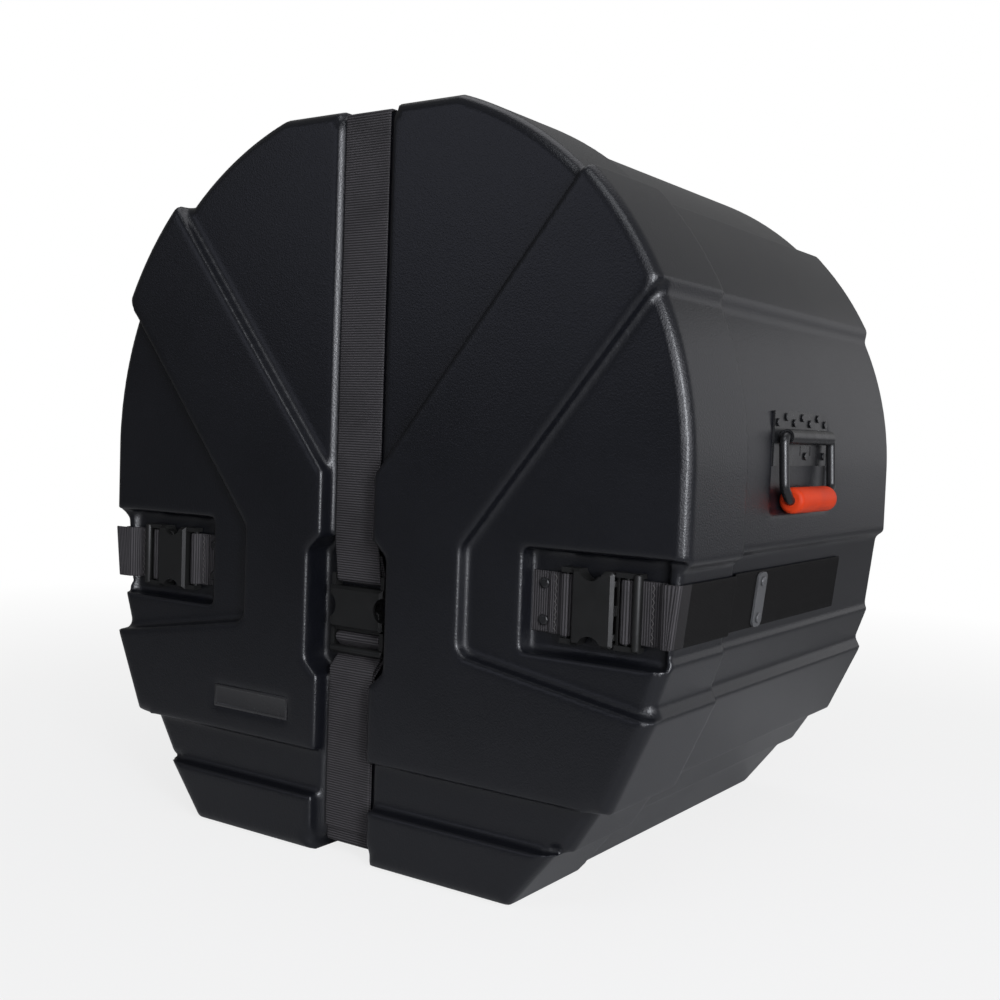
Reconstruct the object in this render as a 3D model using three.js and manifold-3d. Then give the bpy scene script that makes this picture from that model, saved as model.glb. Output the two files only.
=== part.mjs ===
// A moulded case for a bass drum: a body that stands on two long feet, a lid that pulls off forwards,
// three webbing straps with side release buckles, and a spring handle on each side.
// Millimetres, +Z up, the lid faces -Y, the origin lies on the floor below the middle of the case.
import * as THREE from "three";
import { mergeVertices } from "three/addons/utils/BufferGeometryUtils.js";
import Module from "manifold-3d";

const wasm = await Module();
wasm.setup();

// Clearances
const touchGap = 0.3;
const slideGap = 0.8;
const overrun = 12;
const weldDistance = 1e-4;

// Fineness of round and eased shapes
const rivetSides = 12;
const barSides = 12;
const rodSides = 12;
const sleeveSides = 16;
const scallopSides = 20;
const gripSides = 20;
const foamSides = 64;
const ballRings = 8;
const arcStepAngle = 4.5;
const bendStepAngle = 9;
const turnStepAngle = 30;
const leastBendAngle = 1;
const chamferBreak = 1 / 3;
const quarterTurn = 90;

// Webbing
const strapWidth = 50;
const strapThickness = 2.4;
const strapBend = 4;
const lipStrapRoom = 0.6;
const strapLeanRun = 4;
const strapDropLength = 16;
const sideStrapEnd = 378;
const centreStrapEnd = 216;
const halfStrap = strapThickness / 2;
const strapLift = touchGap + halfStrap;
const layerPitch = strapThickness + touchGap;

// Side release buckle. Lengths run along the strap, heights rise from the buckle's base
const railWidth = 4;
const railSideGap = 1.3;
const buckleWidth = strapWidth + (railSideGap + railWidth) * 2;
const buckleHalf = buckleWidth / 2;
const buckleThickness = 14;
const buckleLift = 0.5;
const housingLength = 49;
const housingWall = 2.8;
const housingSideWall = 4;
const housingTaper = 2.5;
const cavityLength = 25;
const railHeight = 10;
const barRadius = 2.5;
const barInset = 3;
const housingSlotLength = 5.8;
const slotLength = 3.4;
const frameBaseLength = 2.2;
const frameBaseHeight = 7.5;
const tailSlotLength = 5.2;
const endBarLength = 6;
const endBarLift = 0.5;
const frameLength = frameBaseLength + slotLength + barRadius * 2 + tailSlotLength + endBarLength;
const frameStart = housingLength + touchGap;
const frameEnd = frameStart + frameLength;
const insertLength = 18.5;
const prongFit = 0.7;
const prongRootWidth = 5;
const prongHeadWidth = 7.3;
const prongHeadLength = 7;
const prongRampLength = 2.7;
const prongRootInner = buckleHalf - housingSideWall - prongFit - prongHeadWidth;
const tongueHalfWidth = 4;
const scallopRadius = 8.5;
const scallopPlace = 29;
const scallopOutset = 1;
const scallopCentre = buckleHalf + scallopOutset;
const anchorMargin = 1.5;
const tailWrapAngle = 235;
const sideTail = 38;
const centreTailEnd = 24;
const centreFoldLength = 22;
const tailRampRoom = 1;

// Case outline, as the lid's outer face has it, seen from the front
const caseDepth = 500;
const caseRadius = 323;
const axisRise = 31.7;
const drumAxisHeight = caseRadius + axisRise;
const shoulderDrop = 2;
const shoulderRadius = caseRadius - shoulderDrop;
const topFlatDrop = 17.7;
const caseTop = drumAxisHeight + caseRadius - topFlatDrop;
const bandRise = 7;
const bandTopAngle = 45.5;
const bandLowAngle = 26.5;
const bandRampAngle = 1.6;
const grooveSideRoom = 5;
const topGrooveHalfWidth = strapWidth / 2 + grooveSideRoom;
const topGrooveDepth = 6;
const strapBelowAxis = 106.7;
const strapHeight = drumAxisHeight - strapBelowAxis;
const ledgeTopRoom = 10;
const ledgeBottomRoom = 7;
const ledgeTop = strapHeight + strapWidth / 2 + ledgeTopRoom;
const ledgeBottom = strapHeight - strapWidth / 2 - ledgeBottomRoom;
const ledgeStep = 6.5;
const ledgeTopSink = 8.5;
const ledgeBottomSink = 16;
const ledgeFloorTopX = caseRadius - ledgeTopSink;
const ledgeFloorBottomX = caseRadius - ledgeBottomSink;
const ledgeSlope = (ledgeFloorTopX - ledgeFloorBottomX) / (ledgeTop - ledgeBottom);
const lidLedgeX = ledgeFloorBottomX + ledgeSlope * (strapHeight - ledgeBottom);
const ledgeLipHeight = 5;
const ledgeLipRise = 3;
const panelGrooveSink = 24;
const panelGrooveDrop = 37;
const panelGrooveX = caseRadius - panelGrooveSink;
const panelGrooveHeight = ledgeBottom - panelGrooveDrop;
const panelTopSink = 18;
const panelTopDrop = 10;
const panelTopX = caseRadius - panelTopSink;
const panelTopOutHeight = panelGrooveHeight - panelTopDrop;
const panelBottomSink = 53;
const panelBottomX = caseRadius - panelBottomSink;
const footHeight = 50;
const stripHeight = 42;
const panelBottomHeight = footHeight + stripHeight;
const stripDrop = 2;
const stripTopSink = 15;
const stripTopX = panelBottomX - stripTopSink;
const stripLean = 24;
const stripBottomX = stripTopX - stripLean;
const footSink = 10;
const footTopX = stripBottomX - footSink;
const footLean = 41;
const footBottomX = footTopX - footLean;
const floorGrooveSideRoom = 8;
const floorGrooveHalfWidth = strapWidth / 2 + floorGrooveSideRoom;
const floorGrooveHeight = 12;

// Relief on the lid's front, as depths behind its proudest face
const panelDepth = 12;
const grooveBelowPanel = 6;
const grooveDepth = panelDepth + grooveBelowPanel;
const pocketBelowGroove = 12;
const pocketDepth = grooveDepth + pocketBelowGroove;
const recessTopMargin = 8;
const recessTop = ledgeTop + recessTopMargin;
const recessBottomMargin = 9;
const recessBottom = ledgeBottom - recessBottomMargin;
const recessCornerInset = 6;
const recessCornerX = ledgeFloorBottomX - recessCornerInset;
const lipRise = 8;
const lipDepth = pocketDepth - lipRise;
const lipRampRun = 4;
const recessLipX = recessCornerX + lipRampRun;
const lipChamfer = 3;
const sideBuckleInset = 32.8;
const recessEndRoom = 19.1;
const recessInnerX = recessCornerX - sideBuckleInset - frameEnd - recessEndRoom;
const sideBuckleX = recessInnerX + sideBuckleInset;
const pocketBelowStrap = 87;
const pocketBottom = strapHeight - pocketBelowStrap;
const pocketEndRoom = 19.9;
const centreBuckleDrop = 32;
const centreBuckleTop = pocketBottom + pocketEndRoom + frameEnd;
const pocketTop = centreBuckleTop + centreBuckleDrop;
const pocketSideRoom = 14.7;
const pocketHalfWidth = buckleHalf + pocketSideRoom;
const pocketMouthRoom = 7;
const pocketMouthHalfWidth = strapWidth / 2 + pocketMouthRoom;
const pocketChamferHeight = 12;
const bandAboveStrap = 95;
const bandInnerHeight = strapHeight + bandAboveStrap;
const bandSlope = 1.24;
const columnMargin = 54;
const bandElbowX = recessInnerX - columnMargin;
const bandElbowDrop = 3;
const bandElbowHeight = recessTop - bandElbowDrop;
const panelTopRise = 29;
const panelTopInHeight = panelTopOutHeight + panelTopRise;
const columnFootChamfer = 7;
const columnFootHeight = panelTopInHeight + columnFootChamfer;
const footFrontRise = 1;
const footTopFrontHeight = footHeight + footFrontRise;

// Shells
const wall = 6;
const lidDepth = 118;
const bodyFrontRoom = 22;
const bodyFront = pocketDepth + wall + bodyFrontRoom;
const cornerBreak = 3;
const rimChamfer = grooveBelowPanel + cornerBreak;
const bodyRimChamfer = 10;

// Name plate
const plateWidth = 94;
const plateHeight = 21;
const plateThickness = 1.6;
const plateSeatDepth = 2.4;
const plateSeatMargin = 1.5;
const plateX = -111;
const plateAboveStrip = 33;
const plateZ = panelBottomHeight + plateAboveStrip;

// Foam
const foamWall = 41;
const foamBore = caseRadius - foamWall;
const padThickness = 12;
const lidPadMargin = 10;
const lidPadRadius = foamBore - lidPadMargin;
const backPadThickness = 15.4;
const foamBackEnd = caseDepth - wall - touchGap * 2 - backPadThickness;
const foamFrontInset = 4;

// Strap keepers and rivets
const keeperPlace = 186;
const keeperWidth = 18;
const keeperLength = 48;
const keeperThickness = 2.5;
const keeperCorner = 6;
const keeperCornerSteps = 6;
const keeperRivetPitch = 32;
const rivetRadius = 2.4;
const rivetHeadRadius = 4.6;
const rivetHeadHeight = 1.8;
const rivetCrownShare = 0.7;
const anchorRivetPitch = 30;
const anchorRivetInset = 13;
const anchorFoldMargin = 2.4;

// Handles
const handleY = caseDepth / 2;
const handleRise = 32.8;
const hingeHeight = drumAxisHeight + handleRise;
const rodRadius = 4.25;
const sleeveWall = 2.1;
const sleeveRadius = rodRadius + touchGap + sleeveWall;
const sleeveSink = 0.25;
const sleeveLength = 100;
const legMargin = 6.5;
const legSpacing = sleeveLength + legMargin * 2;
const handleDrop = 55;
const rodBend = 11.5;
const gripEndGap = 2;
const gripLength = legSpacing - (rodBend + gripEndGap) * 2;
const gripRadius = 11.5;
const gripChamfer = 2.5;
const seatBelowGrip = 9.7;
const handleRivetRadius = 2;
const handleRivetHeadRadius = 3.6;
const handleRivetHeadHeight = 1.4;
const handleRivetEdge = 5;
const handleRivetStagger = 5;
const rivetSleeveGap = 1.75;
const handlePlateMargin = 5.5;
const handlePlateWidth = legSpacing + handlePlateMargin * 2;
const lowRivetBand = handleRivetEdge + handleRivetStagger + handleRivetHeadRadius;
const handlePlateTop = hingeHeight + sleeveRadius + rivetSleeveGap + lowRivetBand;
const plateBelowHinge = 25.5;
const handlePlateBottom = hingeHeight - plateBelowHinge;
const handlePlateThickness = 2;
const handleSeatMargin = 5;
const handleSeatLift = 1.5;
const seatTopAboveAxis = handlePlateTop + handleSeatMargin - drumAxisHeight;
const bodyRadius = caseRadius - wall - slideGap;
const handleSeatX = Math.sqrt(bodyRadius ** 2 - seatTopAboveAxis ** 2) + handleSeatLift;
const backingThickness = 2;
const backingMargin = 4;
const handleRivetHighRow = handlePlateTop - handleRivetEdge;
const handleRivetLowRow = handleRivetHighRow - handleRivetStagger;
const handleRivetCount = 7;
const handleRivetSideEdge = 6.5;
const handleRivetSpacing = (handlePlateWidth - handleRivetSideEdge * 2) / (handleRivetCount - 1);
const lowRivetEdge = 8.5;
const handleLowRivetHeight = handlePlateBottom + lowRivetEdge;
const lowRivetPlace = 10;
const lowRivetSideEdge = 8;
const handleLowRivetPlaces = [lowRivetPlace, handlePlateWidth / 2 - lowRivetSideEdge];
const plateSlotReach = 12;
const plateSlotWidth = 1.6;
const plateSlotLength = 8.5;
const plateSlotLow = handlePlateBottom + 9;

// Colours and finishes
const mouldedBlack = new THREE.MeshStandardMaterial({ color: 0x16181c, roughness: 0.55 });
const foamGrey = new THREE.MeshStandardMaterial({ color: 0x3a3a3c, roughness: 0.95 });
const webbingBlack = new THREE.MeshStandardMaterial({ color: 0x2b2828, roughness: 0.85 });
const buckleBlack = new THREE.MeshStandardMaterial({ color: 0x101113, roughness: 0.4 });
const blackSteel = new THREE.MeshStandardMaterial({ color: 0x24262a, roughness: 0.4, metalness: 0.7 });
const gripOrange = new THREE.MeshStandardMaterial({ color: 0xe03a1e, roughness: 0.5 });
const plateBlack = new THREE.MeshStandardMaterial({ color: 0x1b1b1d, roughness: 0.3 });

const drumCase = new THREE.Group();
const radians = THREE.MathUtils.degToRad;

// Plane outlines are lists of [a, b] points that go round once, anticlockwise.
function signedArea(points) {
  return points.reduce((sum, [a, b], i) => {
    const [nextA, nextB] = points[(i + 1) % points.length];
    return sum + (a * nextB - nextA * b) / 2;
  }, 0);
}

function anticlockwise(points) {
  return signedArea(points) > 0 ? points : [...points].reverse();
}

function mirrored(points) {
  return anticlockwise(points.map(([a, b]) => [-a, b]));
}

// Moves each side of an outline inwards by a distance, or outwards by a negative one.
function inset(outline, distance) {
  const points = anticlockwise(outline);
  const sides = points.map(([a, b], i) => {
    const [nextA, nextB] = points[(i + 1) % points.length];
    const length = Math.hypot(nextA - a, nextB - b);
    const [alongA, alongB] = [(nextA - a) / length, (nextB - b) / length];
    return { a: a - alongB * distance, b: b + alongA * distance, alongA, alongB };
  });
  return sides.map((side, i) => {
    const before = sides[(i + sides.length - 1) % sides.length];
    const cross = before.alongA * side.alongB - before.alongB * side.alongA;
    if (Math.abs(cross) < Number.EPSILON * sides.length) return [side.a, side.b];
    const reach = ((side.a - before.a) * side.alongB - (side.b - before.b) * side.alongA) / cross;
    return [before.a + before.alongA * reach, before.b + before.alongB * reach];
  });
}

function arc(radius, fromAngle, toAngle) {
  const steps = Math.max(1, Math.round(Math.abs(toAngle - fromAngle) / arcStepAngle));
  return Array.from({ length: steps + 1 }, (unused, i) => {
    const angle = radians(fromAngle + ((toAngle - fromAngle) * i) / steps);
    return [radius * Math.cos(angle), drumAxisHeight + radius * Math.sin(angle)];
  });
}

// Solids
function solidOf(geometry) {
  geometry.deleteAttribute("normal");
  geometry.deleteAttribute("uv");
  const merged = mergeVertices(geometry, weldDistance);
  return new wasm.Manifold(
    new wasm.Mesh({
      numProp: 3,
      vertProperties: merged.attributes.position.array,
      triVerts: new Uint32Array(merged.index.array),
    }),
  );
}

// Joins rings of equally many points, the first and last one closed by a flat cap.
// place(a, b, level) gives the point in space for which a, b and level are right handed axes.
function loft(rings, place) {
  const outlines = rings.map(({ points, level }) => ({ points: anticlockwise(points), level }));
  const count = outlines[0].points.length;
  const corners = outlines.flatMap(({ points, level }) => points.map(([a, b]) => place(a, b, level)));
  const faces = [];
  for (let ring = 0; ring + 1 < outlines.length; ring++) {
    for (let i = 0; i < count; i++) {
      const near = ring * count + i;
      const nearNext = ring * count + ((i + 1) % count);
      faces.push([near, nearNext, nearNext + count], [near, nearNext + count, near + count]);
    }
  }
  const cap = (points) =>
    THREE.ShapeUtils.triangulateShape(points.map(([a, b]) => new THREE.Vector2(a, b)), []);
  const lastRing = (outlines.length - 1) * count;
  cap(outlines[0].points).forEach(([p, q, r]) => faces.push([p, r, q]));
  cap(outlines.at(-1).points).forEach((corner) => faces.push(corner.map((p) => p + lastRing)));
  const geometry = new THREE.BufferGeometry();
  geometry.setAttribute("position", new THREE.Float32BufferAttribute(corners.flat(), 3));
  geometry.setIndex(faces.flat());
  return solidOf(geometry);
}

// Outlines drawn in X and Z run back along Y, measured from the lid's front face.
const fromFront = (depth) => depth - caseDepth / 2;
const placeAlongY = (x, z, level) => [x, -level, z];
function alongDepth(rings) {
  const turned = rings.map(({ points, depth }) => ({ points, level: -fromFront(depth) }));
  return loft(turned.reverse(), placeAlongY);
}

function slab(points, nearDepth, farDepth) {
  return alongDepth([
    { points, depth: nearDepth },
    { points, depth: farDepth },
  ]);
}

// Outlines drawn in X and depth run up along Z, outlines drawn in depth and Z run along X.
function upright(points, low, high) {
  const shifted = points.map(([x, depth]) => [x, fromFront(depth)]);
  return loft([{ points: shifted, level: low }, { points: shifted, level: high }], (x, y, z) => [x, y, z]);
}

function across(points, halfWidth) {
  const shifted = points.map(([depth, z]) => [fromFront(depth), z]);
  const ends = [-halfWidth, halfWidth].map((level) => ({ points: shifted, level }));
  return loft(ends, (y, z, x) => [x, y, z]);
}

function rectangle(left, right, low, high) {
  return [
    [left, low],
    [right, low],
    [right, high],
    [left, high],
  ];
}

function box(left, right, near, far, low, high) {
  return slab(rectangle(left, right, low, high), near, far);
}

// A round rod between two points, with as many sides as asked for.
function rod(from, to, radius, sides) {
  const start = new THREE.Vector3(...from);
  const end = new THREE.Vector3(...to);
  const geometry = new THREE.CylinderGeometry(radius, radius, start.distanceTo(end), sides);
  const turn = new THREE.Quaternion().setFromUnitVectors(
    new THREE.Vector3(0, 1, 0),
    end.clone().sub(start).normalize(),
  );
  geometry.applyQuaternion(turn);
  geometry.translate(...start.add(end).multiplyScalar(1 / 2));
  return solidOf(geometry);
}

function joined(solids) {
  return solids.reduce((whole, solid) => whole.add(solid));
}

// Adds a solid to the case as a named mesh. A negative scale along X gives the left hand twin.
function addPiece(name, solid, material, parent = drumCase) {
  const { vertProperties, triVerts, numProp } = solid.getMesh();
  const geometry = new THREE.BufferGeometry();
  geometry.setAttribute("position", new THREE.Float32BufferAttribute(vertProperties.slice(), numProp));
  geometry.setIndex(Array.from(triVerts));
  geometry.computeVertexNormals();
  const mesh = new THREE.Mesh(geometry, material);
  mesh.name = name;
  parent.add(mesh);
  return mesh;
}

const leftHalf = new THREE.Group();
leftHalf.scale.x = -1;
drumCase.add(leftHalf);
const halves = [
  { side: "right", parent: drumCase },
  { side: "left", parent: leftHalf },
];

// Case outline
const flatAngle = THREE.MathUtils.radToDeg(Math.asin((caseTop - drumAxisHeight) / shoulderRadius));
const bandRadius = caseRadius + bandRise;
const flankX = caseRadius;
const rightOutline = [
  [topGrooveHalfWidth, caseTop - topGrooveDepth],
  [topGrooveHalfWidth, caseTop],
  ...arc(shoulderRadius, flatAngle, bandTopAngle + bandRampAngle),
  ...arc(bandRadius, bandTopAngle, bandLowAngle),
  ...arc(caseRadius, bandLowAngle - bandRampAngle, 0),
  [flankX, ledgeTop + ledgeStep],
  [ledgeFloorTopX, ledgeTop],
  [ledgeFloorBottomX, ledgeBottom],
  [ledgeFloorBottomX + ledgeLipRise, ledgeBottom - ledgeLipHeight],
  [panelGrooveX, panelGrooveHeight],
  [panelTopX, panelTopOutHeight],
  [panelBottomX, panelBottomHeight],
  [stripTopX, panelBottomHeight - stripDrop],
  [stripBottomX, footHeight + stripDrop],
  [footTopX, footHeight],
  [footBottomX, 0],
  [floorGrooveHalfWidth, 0],
  [floorGrooveHalfWidth, floorGrooveHeight],
];
const outline = anticlockwise([
  ...rightOutline,
  ...rightOutline.map(([x, z]) => [-x, z]).reverse(),
]);
const bodyInset = wall + slideGap;
const bodyOutline = inset(outline, bodyInset);

// Lid: a shell whose front steps down from the proud bands to the panels, the strap groove and the pockets
const farX = flankX + overrun * 2;
const bandRunX = farX - bandElbowX;
const panelTopSlope = (panelTopInHeight - panelTopOutHeight) / (panelTopX - bandElbowX);
const proudBand = [
  [topGrooveHalfWidth, bandInnerHeight],
  [topGrooveHalfWidth + bandRunX, bandInnerHeight + bandRunX * bandSlope],
  [farX + bandElbowX, bandElbowHeight + farX * bandSlope],
  [bandElbowX, bandElbowHeight],
  [bandElbowX, columnFootHeight],
  [bandElbowX + columnFootChamfer, panelTopInHeight],
  [farX, panelTopInHeight - (farX - bandElbowX - columnFootChamfer) * panelTopSlope],
  [farX, panelBottomHeight],
  [topGrooveHalfWidth, panelBottomHeight],
];
const proudFoot = rectangle(floorGrooveHalfWidth, farX, -overrun, footTopFrontHeight);
const proudShapes = [proudBand, proudFoot].flatMap((shape) => [anticlockwise(shape), mirrored(shape)]);
const pocket = anticlockwise([
  [pocketMouthHalfWidth, pocketTop],
  [pocketHalfWidth, pocketTop - pocketChamferHeight],
  [pocketHalfWidth, pocketBottom + pocketChamferHeight],
  [pocketMouthHalfWidth, pocketBottom],
  [-pocketMouthHalfWidth, pocketBottom],
  [-pocketHalfWidth, pocketBottom + pocketChamferHeight],
  [-pocketHalfWidth, pocketTop - pocketChamferHeight],
  [-pocketMouthHalfWidth, pocketTop],
]);
const recessPlan = anticlockwise([
  [recessInnerX, -overrun],
  [recessInnerX, pocketDepth],
  [recessCornerX, pocketDepth],
  [recessLipX, lipDepth],
  [farX, lipDepth],
  [farX, -overrun],
]);
const recessPlans = [recessPlan, mirrored(recessPlan)];

function chamferedBlock(shape, front, back, chamfer) {
  return alongDepth([
    { points: inset(shape, chamfer), depth: front },
    { points: inset(shape, chamfer * chamferBreak), depth: front + chamfer * chamferBreak },
    { points: shape, depth: front + chamfer },
    { points: shape, depth: back },
  ]);
}

// Everything that the front relief takes away, grown by a margin for the inner face of the wall.
function frontCuts(margin) {
  const grooveHalf = topGrooveHalfWidth + margin;
  return joined([
    box(-grooveHalf, grooveHalf, -overrun, grooveDepth + margin, -overrun, caseTop + overrun),
    slab(inset(pocket, -margin), -overrun, pocketDepth + margin),
    ...recessPlans.map((plan) => upright(inset(plan, -margin), recessBottom - margin, recessTop + margin)),
  ]);
}

const proudSolid = joined(proudShapes.map((shape) => slab(shape, -overrun, panelDepth + overrun)));
const proudHollow = joined(
  proudShapes.map((shape) => slab(inset(shape, wall), wall, panelDepth + overrun)),
);
const lidInner = inset(outline, wall);
const lidHollow = slab(lidInner, panelDepth + wall, lidDepth + overrun)
  .add(proudHollow.intersect(slab(lidInner, 0, lidDepth)))
  .subtract(frontCuts(wall));
const plateLeft = plateX - plateWidth / 2;
const plateLow = plateZ - plateHeight / 2;
const plateBack = plateSeatDepth - touchGap;
const plateOutline = rectangle(plateLeft, plateLeft + plateWidth, plateLow, plateLow + plateHeight);
const strapRivetHeights = [-1, 1].map((way) => strapHeight + (way * anchorRivetPitch) / 2);
const anchorRivetX = recessInnerX + anchorRivetInset;
const rivetHole = rivetRadius + touchGap;

let lidShell = chamferedBlock(outline, 0, lidDepth, rimChamfer)
  .intersect(proudSolid)
  .add(chamferedBlock(outline, panelDepth, lidDepth, rimChamfer))
  .subtract(frontCuts(0))
  .subtract(lidHollow)
  .subtract(slab(inset(plateOutline, -plateSeatMargin), -overrun, plateSeatDepth));
const lipEdge = [
  [lidLedgeX - lipChamfer - overrun, lipDepth - overrun],
  [lidLedgeX + overrun, lipDepth - overrun],
  [lidLedgeX + overrun, lipDepth + lipChamfer + overrun],
];
const lipEnds = [ledgeBottom, ledgeTop].map((level) => ({ points: anticlockwise(lipEdge), level }));
const lipCut = loft(lipEnds, (x, depth, z) => [
  x + ledgeSlope * (z - strapHeight),
  fromFront(depth),
  z,
]);
lidShell = lidShell.subtract(lipCut).subtract(lipCut.mirror([1, 0, 0]));
for (const way of [-1, 1]) {
  for (const z of strapRivetHeights) {
    const ends = [-overrun, overrun].map((reach) => [way * anchorRivetX, fromFront(pocketDepth + reach), z]);
    lidShell = lidShell.subtract(rod(...ends, rivetHole, rivetSides));
  }
}
addPiece("lid_shell", lidShell, mouldedBlack);
addPiece("name_plate", slab(plateOutline, plateBack - plateThickness, plateBack), plateBlack);

// Foam pad inside the lid, glued to the backs of its pockets
const circle = (radius, sides) =>
  Array.from({ length: sides }, (unused, i) => {
    const angle = (2 * Math.PI * i) / sides;
    return [radius * Math.cos(angle), drumAxisHeight + radius * Math.sin(angle)];
  });
const lidPadFront = pocketDepth + wall + touchGap;
const lidPad = slab(circle(lidPadRadius, foamSides), lidPadFront, lidPadFront + padThickness);
addPiece("lid_pad", lidPad, foamGrey);

// Body: a shell that slides inside the lid, with two long feet that reach the floor
const bodyBack = caseDepth;
const footBlock = anticlockwise([
  [floorGrooveHalfWidth + bodyInset, 0],
  [footBottomX - bodyInset, 0],
  [footTopX - bodyInset * 2, footHeight - wall],
  [floorGrooveHalfWidth + bodyInset, footHeight - wall],
]);
const bodyHollow = inset(bodyOutline, wall);
const handleNear = handleY - handlePlateWidth / 2 - handleSeatMargin;
const handleFar = handleY + handlePlateWidth / 2 + handleSeatMargin;
const seatLow = hingeHeight - handleDrop - seatBelowGrip;
const seatHigh = handlePlateTop + handleSeatMargin;
const bossX = handleSeatX - wall;
const footFront = lidDepth + slideGap;
const rimBreak = bodyRimChamfer * chamferBreak;
const mirroredPair = (solid) => solid.add(solid.mirror([1, 0, 0]));
const handleBoss = mirroredPair(
  box(bossX, farX, handleNear - wall, handleFar + wall, seatLow - wall, seatHigh + wall),
);
const handleSeat = mirroredPair(box(handleSeatX, farX, handleNear, handleFar, seatLow, seatHigh));
let bodyShell = alongDepth([
  { points: bodyOutline, depth: bodyFront },
  { points: bodyOutline, depth: bodyBack - bodyRimChamfer },
  { points: inset(bodyOutline, rimBreak), depth: bodyBack - rimBreak },
  { points: inset(bodyOutline, bodyRimChamfer), depth: bodyBack },
])
  .add(mirroredPair(chamferedFoot()))
  .subtract(slab(bodyHollow, bodyFront - overrun, bodyBack - wall).subtract(handleBoss))
  .subtract(handleSeat);

function chamferedFoot() {
  return alongDepth([
    { points: footBlock, depth: footFront },
    { points: footBlock, depth: bodyBack - bodyRimChamfer },
    { points: inset(footBlock, rimBreak), depth: bodyBack },
  ]);
}

// Strap paths. Each is a list of corners in depth and sideways place, turned into a smooth ribbon.
function roundedPath(corners, radius) {
  const points = [corners[0]];
  for (let i = 1; i + 1 < corners.length; i++) {
    const corner = new THREE.Vector2(...corners[i]);
    const back = new THREE.Vector2(...corners[i - 1]).sub(corner);
    const ahead = new THREE.Vector2(...corners[i + 1]).sub(corner);
    const halfAngle = Math.abs(Math.PI - Math.abs(back.angleTo(ahead))) / 2;
    const reach = Math.min(radius * Math.tan(halfAngle), back.length() / 2, ahead.length() / 2);
    if (halfAngle < radians(leastBendAngle)) {
      points.push(corners[i]);
      continue;
    }
    const start = corner.clone().add(back.setLength(reach));
    const end = corner.clone().add(ahead.setLength(reach));
    const curve = new THREE.QuadraticBezierCurve(start, corner, end);
    const bends = Math.max(1, Math.round(halfAngle / radians(bendStepAngle)));
    curve.getPoints(bends).forEach(({ x, y }) => points.push([x, y]));
  }
  points.push(corners.at(-1));
  return points;
}

function ribbon(path, thickness) {
  const sideOf = (way) =>
    path.map(([a, b], i) => {
      const [fromA, fromB] = path[Math.max(0, i - 1)];
      const [toA, toB] = path[Math.min(path.length - 1, i + 1)];
      const length = Math.hypot(toA - fromA, toB - fromB);
      const offset = (way * thickness) / 2 / length;
      return [a - (toB - fromB) * offset, b + (toA - fromA) * offset];
    });
  return anticlockwise([...sideOf(1), ...sideOf(-1).reverse()]);
}

// The way round a buckle's bar, seen from the strap's edge.
function turnRoundBar([centreA, centreB], startAngle, turnAngle) {
  const steps = Math.round(turnAngle / turnStepAngle);
  return Array.from({ length: steps + 1 }, (unused, i) => {
    const angle = radians(startAngle + (turnAngle * i) / steps);
    return [centreA + turnRadius * Math.cos(angle), centreB + turnRadius * Math.sin(angle)];
  });
}

// Where straps and buckles lie
const turnRadius = barRadius + touchGap + halfStrap;
const innerLayerDepth = pocketDepth - strapLift;
const barDepth = innerLayerDepth - turnRadius;
const outerLayerDepth = barDepth - turnRadius;
const tailLayerDepth = innerLayerDepth - layerPitch;
const buckleBaseDepth = pocketDepth - buckleLift;
const barHeight = buckleBaseDepth - barDepth;
const endBarHeight = buckleBaseDepth - tailLayerDepth + halfStrap + endBarLift;
const middleBarPlace = frameStart + frameBaseLength + slotLength + barRadius;
const wrapPast = radians(tailWrapAngle) - Math.PI;
const tailBend =
  turnRadius * Math.sin(wrapPast) +
  (turnRadius * Math.cos(wrapPast) + tailLayerDepth - barDepth) / Math.tan(wrapPast);
const ledgeLean = Math.atan(ledgeSlope);
const bodyLedgeX = lidLedgeX - bodyInset / Math.cos(ledgeLean);
const leanLift = strapLift / Math.cos(ledgeLean);
const dropStart = lidDepth + strapLift;
const dropEnd = dropStart + strapDropLength;

// Side straps: upright on the lid's front, leaning with the ledge along the side
const shareBetween = (value, low, high) => THREE.MathUtils.clamp((value - low) / (high - low), 0, 1);
function sideStrapSolid(path) {
  const placeOnSide = (x, y, z) => {
    const depth = y - fromFront(0);
    const lean = depth > pocketDepth ? 1 : shareBetween(x, recessLipX, recessLipX + strapLeanRun);
    return [x + ledgeSlope * (z - strapHeight) * lean, y, z];
  };
  const points = ribbon(path, strapThickness).map(([x, depth]) => [x, fromFront(depth)]);
  const edges = [-1, 1].map((way) => ({ points, level: strapHeight + (way * strapWidth) / 2 }));
  return loft(edges, placeOnSide);
}

const rampSlant = (Math.hypot(lipRampRun, lipRise) - lipRampRun) / lipRise;
const rampShift = strapLift * rampSlant + lipStrapRoom;
const tailShift = (strapLift + layerPitch) * rampSlant + lipStrapRoom;
const sideRun = roundedPath(
  [
    [bodyLedgeX + leanLift, sideStrapEnd],
    [bodyLedgeX + leanLift, dropEnd],
    [lidLedgeX + leanLift, dropStart],
    [lidLedgeX + leanLift, lipDepth - strapLift],
    [recessLipX - rampShift, lipDepth - strapLift],
    [recessCornerX - rampShift, innerLayerDepth],
    [sideBuckleX + middleBarPlace + barRadius, innerLayerDepth],
  ],
  strapBend,
);
const sideWrap = turnRoundBar([sideBuckleX + middleBarPlace, barDepth], quarterTurn, tailWrapAngle);
const sideTailRun = [
  [sideBuckleX + middleBarPlace + tailBend, tailLayerDepth],
  ...roundedPath(
    [
      [sideBuckleX + frameEnd, tailLayerDepth],
      [recessCornerX - tailShift, tailLayerDepth],
      [recessLipX - tailShift, tailLayerDepth - lipRise],
      [sideBuckleX + frameEnd + sideTail, tailLayerDepth - lipRise],
    ],
    strapBend,
  ),
];
const sideStrapPath = [...sideRun, ...sideWrap, ...sideTailRun];
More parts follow.
